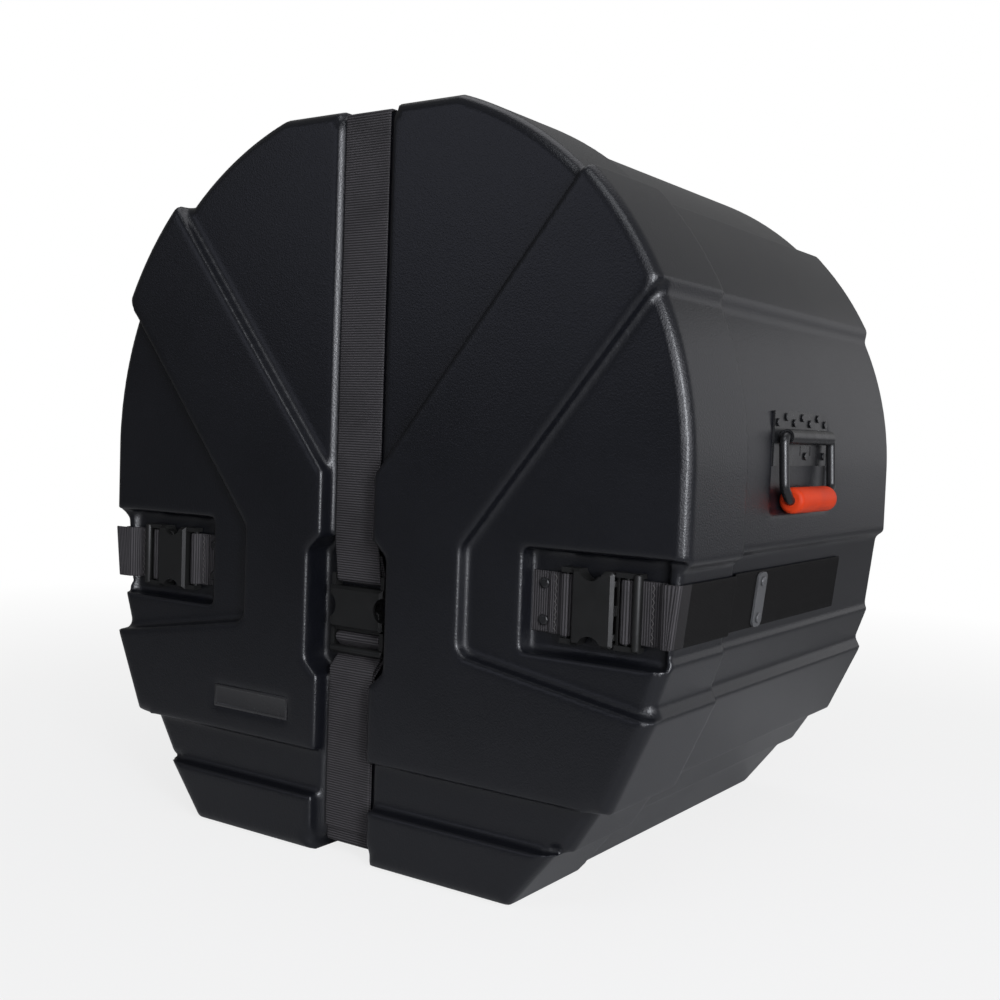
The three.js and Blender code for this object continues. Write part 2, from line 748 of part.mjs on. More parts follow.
const anchorFold = anchorRivetX + rivetHeadRadius + anchorFoldMargin;
const anchorPath = [
  [anchorFold, tailLayerDepth],
  [sideBuckleX + barInset - tailBend, tailLayerDepth],
  ...turnRoundBar([sideBuckleX + barInset, barDepth], quarterTurn - tailWrapAngle, tailWrapAngle),
  [recessInnerX + anchorMargin, innerLayerDepth],
];

// Centre straps: over the top of the lid, and underneath it
const lidTopStrap = caseTop - topGrooveDepth + strapLift;
const bodyTopStrap = lidTopStrap - bodyInset;
const lidFloorStrap = floorGrooveHeight - strapLift;
const bodyFloorStrap = lidFloorStrap + bodyInset;
const grooveStrapDepth = grooveDepth - strapLift;
const upperBarHeight = centreBuckleTop - barInset;
const lowerBarHeight = centreBuckleTop - middleBarPlace;
const upperStrapPath = [
  ...roundedPath(
    [
      [centreStrapEnd, bodyTopStrap],
      [dropEnd, bodyTopStrap],
      [dropStart, lidTopStrap],
      [grooveStrapDepth, lidTopStrap],
      [grooveStrapDepth, pocketTop],
      [outerLayerDepth, upperBarHeight + barRadius],
    ],
    strapBend,
  ),
  ...turnRoundBar([barDepth, upperBarHeight], quarterTurn * 2, quarterTurn * 2),
  [grooveStrapDepth + layerPitch * 2, upperBarHeight + centreFoldLength],
];
const tailOverGroove = grooveStrapDepth - layerPitch;
const pocketRise = innerLayerDepth - grooveStrapDepth;
const lowerRampStart = pocketBottom + layerPitch;
const tailRampStart = centreBuckleTop - frameEnd - tailRampRoom;
const lowerStrapPath = [
  ...roundedPath(
    [
      [centreStrapEnd, bodyFloorStrap],
      [dropEnd, bodyFloorStrap],
      [dropStart, lidFloorStrap],
      [grooveStrapDepth, lidFloorStrap],
      [grooveStrapDepth, lowerRampStart],
      [innerLayerDepth, lowerRampStart + pocketRise],
      [innerLayerDepth, lowerBarHeight - barRadius],
    ],
    strapBend,
  ),
  ...turnRoundBar([barDepth, lowerBarHeight], 0, tailWrapAngle),
  [tailLayerDepth, lowerBarHeight - tailBend],
  ...roundedPath(
    [
      [tailLayerDepth, tailRampStart],
      [tailOverGroove, tailRampStart - pocketRise],
      [tailOverGroove, centreTailEnd],
    ],
    strapBend,
  ),
];

// Keepers: local X points out of the case, local Z runs across the strap
const keeperLift = touchGap * 2 + strapThickness;
const keeperAt = fromFront(keeperPlace);
const axisX = new THREE.Vector3(1, 0, 0);
const axisY = new THREE.Vector3(0, 1, 0);
const axisZ = new THREE.Vector3(0, 0, 1);
const sideKeeper = new THREE.Matrix4()
  .makeTranslation(bodyLedgeX, keeperAt, strapHeight)
  .multiply(new THREE.Matrix4().makeRotationY(ledgeLean));
const topKeeper = new THREE.Matrix4()
  .makeBasis(axisZ, axisY.clone().negate(), axisX)
  .setPosition(0, keeperAt, caseTop - topGrooveDepth - bodyInset);
const floorKeeper = new THREE.Matrix4()
  .makeBasis(axisZ.clone().negate(), axisY, axisX)
  .setPosition(0, keeperAt, floorGrooveHeight + bodyInset);
const keeperRivetPlaces = [-1, 1].map((way) => (way * keeperRivetPitch) / 2);
const placed = (solid, matrix) => solid.transform([...matrix.elements]);
const keeperHoles = joined(
  keeperRivetPlaces.map((z) => rod([-wall - overrun, 0, z], [overrun, 0, z], rivetHole, rivetSides)),
);
const keeperCorners = [
  [1, 1],
  [-1, 1],
  [-1, -1],
  [1, -1],
].map(([y, z]) => [(y * keeperWidth) / 2, (z * keeperLength) / 2]);
const keeperOutline = keeperCorners.flatMap(([y, z], corner) =>
  Array.from({ length: keeperCornerSteps + 1 }, (unused, i) => {
    const turn = radians(quarterTurn * (corner + i / keeperCornerSteps));
    const middleY = y - Math.sign(y) * keeperCorner;
    const middleZ = z - Math.sign(z) * keeperCorner;
    return [middleY + keeperCorner * Math.cos(turn), middleZ + keeperCorner * Math.sin(turn)];
  }),
);
const keeperFaces = [0, keeperThickness].map((level) => ({ points: keeperOutline, level }));
const keeperBar = loft(keeperFaces, (y, z, level) => [keeperLift + level, y, z]).subtract(keeperHoles);

function plainBox(sizeX, sizeY, sizeZ) {
  return solidOf(new THREE.BoxGeometry(sizeX, sizeY, sizeZ));
}

function rivet(headBase, shankEnd, place) {
  const middle = headBase + rivetHeadHeight / 2;
  const top = headBase + rivetHeadHeight;
  const crownRadius = rivetHeadRadius * rivetCrownShare;
  const cone = new THREE.CylinderGeometry(crownRadius, rivetHeadRadius, rivetHeadHeight / 2, rivetSides);
  cone.rotateZ(-Math.PI / 2);
  cone.translate((middle + top) / 2, 0, place);
  return joined([
    rod([shankEnd, 0, place], [middle, 0, place], rivetRadius, rivetSides),
    rod([headBase, 0, place], [middle, 0, place], rivetHeadRadius, rivetSides),
    solidOf(cone),
  ]);
}

function addKeeper(name, matrix, parent) {
  const group = new THREE.Group();
  group.applyMatrix4(matrix);
  parent.add(group);
  addPiece(`keeper_${name}`, keeperBar, blackSteel, group);
  keeperRivetPlaces.forEach((z, i) => {
    const head = keeperLift + keeperThickness + touchGap;
    addPiece(`keeper_${name}_rivet_${i + 1}`, rivet(head, -wall + touchGap, z), blackSteel, group);
  });
}

halves.forEach(({ side, parent }) => addKeeper(side, sideKeeper, parent));
addKeeper("top", topKeeper, drumCase);
addKeeper("floor", floorKeeper, drumCase);

// Straps with their rivet holes
const sideKeeperHoles = placed(keeperHoles, sideKeeper);
const sideStrap = sideStrapSolid(sideStrapPath).subtract(sideKeeperHoles);
const anchorHoles = joined(
  strapRivetHeights.map((z) => {
    const ends = [-overrun, overrun].map((reach) => [anchorRivetX, fromFront(pocketDepth + reach), z]);
    return rod(...ends, rivetHole, rivetSides);
  }),
);
const anchorStrap = sideStrapSolid(anchorPath).subtract(anchorHoles);
const anchorRivetFrame = (z) =>
  new THREE.Matrix4()
    .makeBasis(axisY.clone().negate(), axisX, axisZ)
    .setPosition(anchorRivetX, fromFront(pocketDepth), z);
halves.forEach(({ side, parent }) => {
  addPiece(`long_strap_${side}`, sideStrap, webbingBlack, parent);
  addPiece(`anchor_strap_${side}`, anchorStrap, webbingBlack, parent);
  strapRivetHeights.forEach((z, i) => {
    const group = new THREE.Group();
    group.applyMatrix4(anchorRivetFrame(z));
    parent.add(group);
    const head = strapLift + halfStrap + touchGap;
    addPiece(`anchor_${side}_rivet_${i + 1}`, rivet(head, -wall + touchGap, 0), blackSteel, group);
  });
});
const halfWidth = strapWidth / 2;
const upperStrap = across(ribbon(upperStrapPath, strapThickness), halfWidth);
const lowerStrap = across(ribbon(lowerStrapPath, strapThickness), halfWidth);
addPiece("centre_strap_upper", upperStrap.subtract(placed(keeperHoles, topKeeper)), webbingBlack);
addPiece("centre_strap_lower", lowerStrap.subtract(placed(keeperHoles, floorKeeper)), webbingBlack);

// Buckle, in its own axes: X along the strap, Y across it, Z out of the pocket
const railInner = buckleHalf - railWidth;
const blockBetween = (fromX, toX, fromY, toY, fromZ, toZ) =>
  placed(
    plainBox(toX - fromX, toY - fromY, toZ - fromZ),
    new THREE.Matrix4().makeTranslation((fromX + toX) / 2, (fromY + toY) / 2, (fromZ + toZ) / 2),
  );
const bothRails = (fromX, toX) =>
  blockBetween(fromX, toX, railInner, buckleHalf, 0, railHeight).add(
    blockBetween(fromX, toX, -buckleHalf, -railInner, 0, railHeight),
  );
const crossBar = (place) => {
  const ends = [-1, 1].map((way) => [place, way * (railInner + touchGap), barHeight]);
  return rod(...ends, barRadius, barSides);
};
const housingStart = barInset + barRadius + housingSlotLength;
const cavityStart = housingLength - cavityLength;
const cavityEnd = housingLength + overrun;
const cavityHalf = buckleHalf - housingSideWall;
const cavityTop = buckleThickness - housingWall;
const scallop = (way) => {
  const ends = [-overrun, buckleThickness + overrun].map((z) => [scallopPlace, way * scallopCentre, z]);
  return rod(...ends, scallopRadius, scallopSides);
};
const housingPlan = anticlockwise([
  [housingStart, -buckleHalf],
  [housingLength - housingTaper, -buckleHalf],
  [housingLength, -buckleHalf + housingTaper],
  [housingLength, buckleHalf - housingTaper],
  [housingLength - housingTaper, buckleHalf],
  [housingStart, buckleHalf],
]);
const housingBlock = loft(
  [
    { points: housingPlan, level: 0 },
    { points: housingPlan, level: buckleThickness - housingTaper },
    { points: inset(housingPlan, housingTaper), level: buckleThickness },
  ],
  (x, y, z) => [x, y, z],
);
const housing = housingBlock
  .add(bothRails(0, housingStart + touchGap))
  .add(crossBar(barInset))
  .subtract(blockBetween(cavityStart, cavityEnd, -cavityHalf, cavityHalf, housingWall, cavityTop))
  .subtract(scallop(1))
  .subtract(scallop(-1));
const tongueLow = housingWall + prongFit;
const tongueHigh = cavityTop - prongFit;
const insertStart = frameStart - insertLength;
const frame = joined([
  blockBetween(frameStart, frameStart + frameBaseLength, -buckleHalf, buckleHalf, 0, frameBaseHeight),
  bothRails(frameStart, frameEnd),
  crossBar(middleBarPlace),
  blockBetween(frameEnd - endBarLength, frameEnd, -buckleHalf, buckleHalf, endBarHeight, railHeight),
  blockBetween(insertStart, frameStart + touchGap, -tongueHalfWidth, tongueHalfWidth, tongueLow, tongueHigh),
]);
const prongRootX = frameStart - touchGap;
const prongOuter = prongRootInner + prongHeadWidth;
const prongRampEnd = insertStart + prongRampLength;
const prongPlan = anticlockwise([
  [prongRootX, prongRootInner],
  [prongRootX, prongRootInner + prongRootWidth],
  [prongRampEnd + prongHeadLength + prongRampLength, prongRootInner + prongRootWidth],
  [prongRampEnd + prongHeadLength, prongOuter],
  [prongRampEnd, prongOuter],
  [insertStart, prongOuter - prongRampLength],
  [insertStart, prongRootInner],
]);
const prongEnds = [tongueLow, tongueHigh].map((level) => ({ points: prongPlan, level }));
const prong = loft(prongEnds, (x, y, z) => [x, y, z]);
const prongAcross = prong.mirror([0, 1, 0]);

function addBuckle(name, matrix, parent) {
  const group = new THREE.Group();
  group.applyMatrix4(matrix);
  parent.add(group);
  addPiece(`buckle_${name}_housing`, housing, buckleBlack, group);
  addPiece(`buckle_${name}_frame`, frame, buckleBlack, group);
  addPiece(`buckle_${name}_prong_1`, prong, buckleBlack, group);
  addPiece(`buckle_${name}_prong_2`, prongAcross, buckleBlack, group);
}

const sideBuckle = new THREE.Matrix4()
  .makeBasis(axisX, axisZ, axisY.clone().negate())
  .setPosition(sideBuckleX, fromFront(buckleBaseDepth), strapHeight);
const centreBuckle = new THREE.Matrix4()
  .makeBasis(axisZ.clone().negate(), axisX, axisY.clone().negate())
  .setPosition(0, fromFront(buckleBaseDepth), centreBuckleTop);
halves.forEach(({ side, parent }) => addBuckle(side, sideBuckle, parent));
addBuckle("centre", centreBuckle, drumCase);

// Handles, modelled on the right side
const handleBack = handleSeatX + touchGap;
const handleFace = handleBack + handlePlateThickness;
const hingeX = handleFace + sleeveRadius - sleeveSink;
const handleAt = fromFront(handleY);
const handleRivetPlaces = [
  ...Array.from({ length: handleRivetCount }, (unused, i) => [
    (i - (handleRivetCount - 1) / 2) * handleRivetSpacing,
    i % 2 === 0 ? handleRivetLowRow : handleRivetHighRow,
  ]),
  ...handleLowRivetPlaces.map((place) => [place, handleLowRivetHeight]),
];
const handleRods = (fromX, toX, radius) =>
  joined(
    handleRivetPlaces.map(([y, z]) => {
      const ends = [fromX, toX].map((x) => [x, handleAt + y, z]);
      return rod(...ends, radius, rivetSides);
    }),
  );
const handleHoles = handleRods(bossX - overrun, handleFace + overrun, handleRivetRadius + touchGap);
const plateHalf = handlePlateWidth / 2;
const plainPlate = (fromX, toX, margin) => {
  const along = [handleAt - plateHalf + margin, handleAt + plateHalf - margin];
  return blockBetween(fromX, toX, ...along, handlePlateBottom + margin, handlePlateTop - margin);
};
const sleeveEnds = [-1, 1].map((way) => [hingeX, handleAt + (way * sleeveLength) / 2, hingeHeight]);
const boreEnds = [-1, 1].map((way) => [hingeX, handleAt + way * sleeveLength, hingeHeight]);
const plateSlots = joined(
  [-1, 1].map((way) => {
    const middle = handleAt + lowRivetPlace + way * plateSlotReach;
    const sides = [middle - plateSlotWidth / 2, middle + plateSlotWidth / 2];
    const ends = [plateSlotLow, plateSlotLow + plateSlotLength];
    return blockBetween(handleBack - touchGap / 2, handleFace + overrun, ...sides, ...ends);
  }),
);
const handlePlate = plainPlate(handleBack, handleFace, 0)
  .add(rod(...sleeveEnds, sleeveRadius, sleeveSides))
  .subtract(rod(...boreEnds, rodRadius + touchGap, sleeveSides))
  .subtract(plateSlots)
  .subtract(handleHoles);
const backingFace = bossX - touchGap;
const headFace = handleFace + touchGap;
const headTop = headFace + handleRivetHeadHeight;
const backing = plainPlate(backingFace - backingThickness, backingFace, backingMargin)
  .add(handleRods(backingFace - backingThickness / 2, headFace + touchGap, handleRivetRadius))
  .add(handleRods(headFace, headTop, handleRivetHeadRadius));
const restLean = Math.asin((handleSeatX + gripRadius + touchGap - hingeX) / handleDrop);
const halfSpacing = legSpacing / 2;
const bailCorners = [
  [-halfSpacing, 0],
  [-halfSpacing, rodBend - handleDrop],
  [rodBend - halfSpacing, -handleDrop],
  [halfSpacing - rodBend, -handleDrop],
  [halfSpacing, rodBend - handleDrop],
  [halfSpacing, 0],
].map(([y, z]) => [0, y, z]);
const bail = joined(
  bailCorners.flatMap((corner, i) => {
    const next = bailCorners[(i + 1) % bailCorners.length];
    const ball = new THREE.SphereGeometry(rodRadius, rodSides, ballRings).translate(...corner);
    return [rod(corner, next, rodRadius, rodSides), solidOf(ball)];
  }),
);
const gripProfile = [
  [rodRadius + touchGap, -gripLength / 2],
  [gripRadius - gripChamfer, -gripLength / 2],
  [gripRadius, gripChamfer - gripLength / 2],
  [gripRadius, gripLength / 2 - gripChamfer],
  [gripRadius - gripChamfer, gripLength / 2],
  [rodRadius + touchGap, gripLength / 2],
  [rodRadius + touchGap, -gripLength / 2],
].map(([radius, place]) => new THREE.Vector2(radius, place));
const grip = solidOf(new THREE.LatheGeometry(gripProfile, gripSides).translate(0, 0, -handleDrop));

halves.forEach(({ side, parent }) => {
  addPiece(`handle_${side}_plate`, handlePlate, blackSteel, parent);
  addPiece(`handle_${side}_backing`, backing, blackSteel, parent);
  const swing = new THREE.Group();
  swing.position.set(hingeX, handleAt, hingeHeight);
  swing.rotation.y = -restLean;
  parent.add(swing);
  addPiece(`handle_${side}_bail`, bail, blackSteel, swing);
  addPiece(`handle_${side}_grip`, grip, gripOrange, swing);
});

// Body shell with its rivet holes, and the foam inside it
const bodyHoles = joined([
  mirroredPair(sideKeeperHoles),
  placed(keeperHoles, topKeeper),
  placed(keeperHoles, floorKeeper),
  mirroredPair(handleHoles),
]);
addPiece("body_shell", bodyShell.subtract(bodyHoles), mouldedBlack);
const foamFront = bodyFront + foamFrontInset;
const foamOutline = inset(bodyOutline, wall + touchGap);
const foamPocket = mirroredPair(
  box(
    backingFace - backingThickness - touchGap,
    farX,
    handleNear - wall - touchGap,
    handleFar + wall + touchGap,
    seatLow - wall - touchGap,
    seatHigh + wall + touchGap,
  ),
);
const bodyFoam = slab(foamOutline, foamFront, foamBackEnd)
  .subtract(slab(circle(foamBore, foamSides), 0, caseDepth))
  .subtract(foamPocket);
addPiece("body_foam", bodyFoam, foamGrey);
addPiece("back_pad", slab(foamOutline, foamBackEnd + touchGap, bodyBack - wall - touchGap), foamGrey);

export default drumCase;
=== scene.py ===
"""A moulded case for a bass drum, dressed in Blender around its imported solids."""

import math

import bpy
import numpy as np
from mathutils import Matrix, Vector


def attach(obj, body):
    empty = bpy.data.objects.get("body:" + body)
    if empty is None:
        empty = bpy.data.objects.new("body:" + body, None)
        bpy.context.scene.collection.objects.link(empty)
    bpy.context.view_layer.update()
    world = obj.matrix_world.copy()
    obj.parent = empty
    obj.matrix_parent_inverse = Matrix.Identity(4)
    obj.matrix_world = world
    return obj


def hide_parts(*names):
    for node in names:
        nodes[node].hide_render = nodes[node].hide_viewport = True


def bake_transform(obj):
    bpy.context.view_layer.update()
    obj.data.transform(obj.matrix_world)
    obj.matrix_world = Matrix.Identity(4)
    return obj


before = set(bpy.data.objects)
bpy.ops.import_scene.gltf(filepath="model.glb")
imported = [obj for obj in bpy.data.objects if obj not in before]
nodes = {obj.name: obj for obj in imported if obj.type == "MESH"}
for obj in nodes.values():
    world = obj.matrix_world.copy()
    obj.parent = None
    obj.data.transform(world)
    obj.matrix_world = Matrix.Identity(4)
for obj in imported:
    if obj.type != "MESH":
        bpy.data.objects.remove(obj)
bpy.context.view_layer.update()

sides = (("right", 1), ("left", -1))

# Sizes are in metres, as the solids have them, and angles in degrees
drum_axis = 0.3547
case_top = 0.66
shoulder_radius = 0.321
shoulder_top = math.degrees(math.asin((case_top - drum_axis) / shoulder_radius))
band_top = 45.5
band_low = 26.5
band_ramp = 1.6
facet_angle = 4.5
round_spans = (
    (band_top + band_ramp, shoulder_top), (band_low, band_top), (0.0, band_low - band_ramp),
)
relief_depth = -0.15
outline_sectors = 240

# Webbing and its ribs
strap_width = 0.05
strap_thickness = 0.0024
strap_bend = 0.004
strap_lift = 0.0015
least_bend = 0.02
bend_parts = 8
rib_pitch = 0.0022
rib_height = 0.00024
thread_pitch = 0.0011
selvedge = 0.003
selvedge_flat = 0.0016
selvedge_round = 0.0012

# Layers of webbing in the recesses, as depths along Y
pocket_back = -0.22
inner_layer = -0.2215
outer_layer = -0.2295
tail_layer = -0.2242
lip_strap = -0.2295
groove_strap = -0.2335
tail_gap = 0.0027

# Where the straps step down from the lid to the body, along Y
step_front = -0.1305
step_back = -0.1145

# Side straps. The back end, the split and the left tail's lift are along Y, the height along Z and
# the rest along X
strap_height = 0.248
ledge_slope = 7.5 / 67
lid_ledge = 0.31058
body_ledge = 0.30374
side_strap_back = 0.128
side_strap_split = -0.212
lip_foot = 0.301
lip_edge = 0.305
lip_turn = 0.004
lip_inset = 0.00153
tail_inset = 0.0032
tail_straight = 0.013
right_tail_end = 0.3115
left_tail_end = 0.3199
left_tail_lift = 0.0012
plain_reach = 0.0155
anchor_outer_end = 0.1985
anchor_inner_end = 0.1796

# Centre straps. The back end and the upper end's lift are along Y and the rest along Z
centre_strap_back = -0.034
top_strap = 0.6555
floor_strap = 0.0105
lid_step = 0.0068
recess_top = 0.284
upper_end_lift = 0.0054
upper_end_rise = 0.022
centre_split = 0.09
recess_lip = 0.1637
recess_floor = 0.1757
centre_tail_leaves = 0.1799
centre_tail_joins = 0.1679
centre_tail_end = 0.024

# Bars that the webbing is turned round, placed along X on the sides and along Z in the middle
bar_depth = -0.2255
bar_meet = 0.0025
bar_clear = 0.0067
turn_radius = 0.004
tail_wrap = 235
side_bar = 0.2682
side_housing_bar = 0.2138
centre_bar = 0.1946
centre_housing_bar = 0.249

# Buckles: depths along Y, and places along X on the sides and along Z in the middle
buckle_depth = -0.2275
buckle_width = 0.0606
side_notches = 0.2398
centre_notches = 0.223
notch_offset = 0.0333
notch_radius = 0.0115
end_bar_depth = -0.2292
end_bar_radius = 0.0036
side_end_bar = 0.2789
centre_end_bar = 0.1839

# Seams on the side webbing, placed along X and running up from low to high
seam_depth = tail_layer - strap_thickness / 2
seam_low = 0.2265
seam_high = 0.2695
anchor_seam = 0.2032
tail_seam = 0.2905
stitch_pitch = 0.0026
stitch_tilt = 38

# Handles
hinge_place = Vector((0.320694, 0.0, 0.3875))
handle_lean = math.radians(3.23)
handle_drop = 0.055
leg_reach = 0.0565
rod_radius = 0.00425
rod_bend = 0.0115
rod_corner = 0.008
grip_radius = 0.0115
grip_length = 0.086


# Working on one piece at a time
def only(piece):
    bpy.ops.object.select_all(action="DESELECT")
    piece.select_set(True)
    bpy.context.view_layer.objects.active = piece


def finish_with(piece, kind, **settings):
    only(piece)
    modifier = piece.modifiers.new(kind.lower(), kind)
    for name, value in settings.items():
        setattr(modifier, name, value)
    bpy.ops.object.modifier_apply(modifier=modifier.name)


def in_edit(piece, *steps):
    only(piece)
    bpy.ops.object.mode_set(mode="EDIT")
    bpy.ops.mesh.select_all(action="SELECT")
    for step in steps:
        step()
    bpy.ops.object.mode_set(mode="OBJECT")


def smooth_by_angle(piece, degrees):
    only(piece)
    bpy.ops.object.shade_smooth_by_angle(angle=math.radians(degrees))


def settle(piece):
    """Moves the piece's place into its mesh."""
    only(piece)
    bpy.ops.object.transform_apply(location=True, rotation=True, scale=True)
    return piece


def named(name):
    piece = bpy.context.view_layer.objects.active
    piece.name = name
    piece.data.name = name
    return piece


def add_object(name, data):
    piece = bpy.data.objects.new(name, data)
    bpy.context.scene.collection.objects.link(piece)
    return piece


def cylinder(name, **settings):
    bpy.ops.object.select_all(action="DESELECT")
    bpy.ops.mesh.primitive_cylinder_add(**settings)
    return named(name)


def dress(piece, material, slot, body, *replaced):
    piece.data.materials.clear()
    piece.data.materials.append(material)
    if body:
        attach(piece, body)
    if replaced:
        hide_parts(*replaced)
    return piece


def copy_of(node, name):
    """A separate copy of a solid's mesh, with its corners merged and its flat faces joined."""
    piece = add_object(name, nodes[node].data.copy())
    only(piece)
    bpy.ops.mesh.customdata_custom_splitnormals_clear()
    in_edit(
        piece,
        lambda: bpy.ops.mesh.remove_doubles(threshold=0.00001),
        lambda: bpy.ops.mesh.dissolve_limited(angle_limit=math.radians(0.5)),
    )
    return piece


def bevel(piece, width, segments, sharp, **more):
    """Rounds the edges that are sharper than the angle sharp."""
    finish_with(
        piece, "BEVEL", width=width, segments=segments, limit_method="ANGLE",
        angle_limit=math.radians(sharp), **more,
    )


def eased(piece, width, segments=3, sharp=32):
    bevel(piece, width, segments, sharp, use_clamp_overlap=True, harden_normals=True)
    smooth_by_angle(piece, 40)
    finish_with(piece, "WEIGHTED_NORMAL", mode="FACE_AREA", weight=80, keep_sharp=True)
    return piece


def eased_copy(node, name, width, segments=3, sharp=32):
    return eased(copy_of(node, name), width, segments, sharp)


def places_of(piece):
    places = np.zeros(len(piece.data.vertices) * 3, np.float32)
    piece.data.vertices.foreach_get("co", places)
    return places.reshape(-1, 3)


def true_rounds(piece):
    """Lifts the flat facets of the round walls out to the arcs that they stand for."""
    places = places_of(piece).astype(float)
    angle = np.degrees(np.arctan2(places[:, 2] - drum_axis, np.abs(places[:, 0])))
    for low, high in round_spans:
        facet = (high - low) / max(1, round((high - low) / facet_angle))
        inside = (angle > low) & (angle < high)
        off = (angle - low) % facet - facet / 2
        grow = np.cos(np.radians(off)) / math.cos(math.radians(facet / 2))
        grow = np.where(inside, grow, 1.0)
        places[:, 0] *= grow
        places[:, 2] = drum_axis + (places[:, 2] - drum_axis) * grow
    piece.data.vertices.foreach_set("co", places.reshape(-1).astype(np.float32))
    piece.data.update()


def group_inner_relief(piece, margin):
    """Groups the front relief's points, but for those near the moulding's outline."""
    x, y, z = places_of(piece).T
    reach = np.hypot(x, z - drum_axis)
    turned = (np.arctan2(z - drum_axis, x) + math.pi) / (2 * math.pi)
    sector = (turned * outline_sectors).astype(int) % outline_sectors
    outline = np.zeros(outline_sectors)
    np.maximum.at(outline, sector, reach)
    inner = (reach < outline[sector] - margin) & (y < relief_depth)
    group = piece.vertex_groups.new(name="inner_relief")
    group.add(np.flatnonzero(inner).tolist(), 1.0, "REPLACE")


def moulding(node, name, grain, passes, share, relief_passes=0):
    """A moulded copy of a shell, with every edge and corner rounded over."""
    piece = copy_of(node, name)
    grain = grain * 1
    finish_with(piece, "REMESH", mode="VOXEL", voxel_size=grain, adaptivity=0)
    true_rounds(piece)
    if relief_passes:
        group_inner_relief(piece, 0.011)
        finish_with(piece, "SMOOTH", factor=0.5, iterations=relief_passes, vertex_group="inner_relief")
    finish_with(piece, "SMOOTH", factor=0.5, iterations=passes)
    finish_with(piece, "DECIMATE", decimate_type="COLLAPSE", ratio=share)
    smooth_by_angle(piece, 60)
    return piece


# Materials
class Look:
    """A material's node tree, with short calls to add to it."""

    def __init__(self, name):
        self.material = bpy.data.materials.new(name)
        self.material.use_nodes = True
        self.tree = self.material.node_tree
        self.shader = self.tree.nodes["Principled BSDF"]
        self.place = self.tree.nodes.new("ShaderNodeTexCoord").outputs["Object"]

    def add(self, kind, sockets=(), **settings):
        node = self.tree.nodes.new(kind)
        for name, value in settings.items():
            setattr(node, name, value)
        for key, value in dict(sockets).items():
            if isinstance(value, bpy.types.NodeSocket):
                self.tree.links.new(value, node.inputs[key])
            else:
                node.inputs[key].default_value = value
        return node

    def noise(self, scale, detail=2.0, rough=0.5):
        sockets = {"Vector": self.place, "Scale": scale, "Detail": detail, "Roughness": rough}
        return self.add("ShaderNodeTexNoise", sockets).outputs["Fac"]

    def cells(self, scale, feature="F1"):
        sockets = {"Vector": self.place, "Scale": scale}
        return self.add("ShaderNodeTexVoronoi", sockets, feature=feature).outputs["Distance"]

    def ramp(self, value, low, high, start=0.0, end=1.0):
        sockets = {"Value": value, "From Min": low, "From Max": high, "To Min": start, "To Max": end}
        return self.add("ShaderNodeMapRange", sockets, clamp=True).outputs["Result"]

    def maths(self, operation, first, second=0.0):
        return self.add("ShaderNodeMath", {0: first, 1: second}, operation=operation).outputs["Value"]

    def mix(self, share, first, second):
        node = self.add("ShaderNodeMix", {"Factor": share}, data_type="RGBA")
        for socket, value in (("A", first), ("B", second)):
            target = next(spot for spot in node.inputs if spot.name == socket and spot.type == "RGBA")
            if isinstance(value, bpy.types.NodeSocket):
                self.tree.links.new(value, target)
            else:
                target.default_value = (*value, 1.0)
        return next(spot for spot in node.outputs if spot.type == "RGBA")

    def bump(self, height, distance, strength, under=None):
        sockets = {"Height": height, "Distance": distance, "Strength": strength}
        if under is not None:
            sockets["Normal"] = under
        return self.add("ShaderNodeBump", sockets).outputs["Normal"]

    def done(self, **sockets):
        for key, value in sockets.items():
            target = self.shader.inputs[key.replace("_", " ")]
            if isinstance(value, bpy.types.NodeSocket):
                self.tree.links.new(value, target)
            else:
                target.default_value = value
        return self.material


def moulded_plastic():
    look = Look("moulded_plastic")
    pebbles = look.cells(760.0, "SMOOTH_F1")
    fine = look.noise(1500.0, 2.0)
    drift = look.noise(9.0, 4.0, 0.6)
    cloud = look.noise(2.4, 3.0)
    edge = look.add("ShaderNodeNewGeometry").outputs["Pointiness"]
    # Pointiness marks the convex edges: they are made a little smoother, and their colour gets a painted
    # highlight
    rubbed_edge_and_highlight = look.ramp(edge, 0.53, 0.62)
    colour = look.mix(look.ramp(drift, 0.3, 0.7), (0.0034, 0.0038, 0.0054), (0.0048, 0.0052, 0.0072))
    # The convex edges are mixed towards a lighter bluish colour: a painted highlight along the rims and
    # ridges
    colour = look.mix(look.maths("MULTIPLY", rubbed_edge_and_highlight, 0.5), colour, (0.016, 0.018, 0.024))
    rough = look.ramp(look.maths("ADD", drift, look.maths("MULTIPLY", cloud, 0.6)), 0.45, 1.15, 0.27, 0.33)
    rough = look.maths("SUBTRACT", rough, look.maths("MULTIPLY", rubbed_edge_and_highlight, 0.06))
    hollow = look.ramp(edge, 0.488, 0.43)
    rough = look.maths("ADD", rough, look.maths("MULTIPLY", hollow, 0.45))
    normal = look.bump(pebbles, 0.0005, 0.3)
    normal = look.bump(fine, 0.0003, 0.22, normal)
    return look.done(Base_Color=colour, Roughness=rough, Normal=normal, Specular_IOR_Level=0.45)


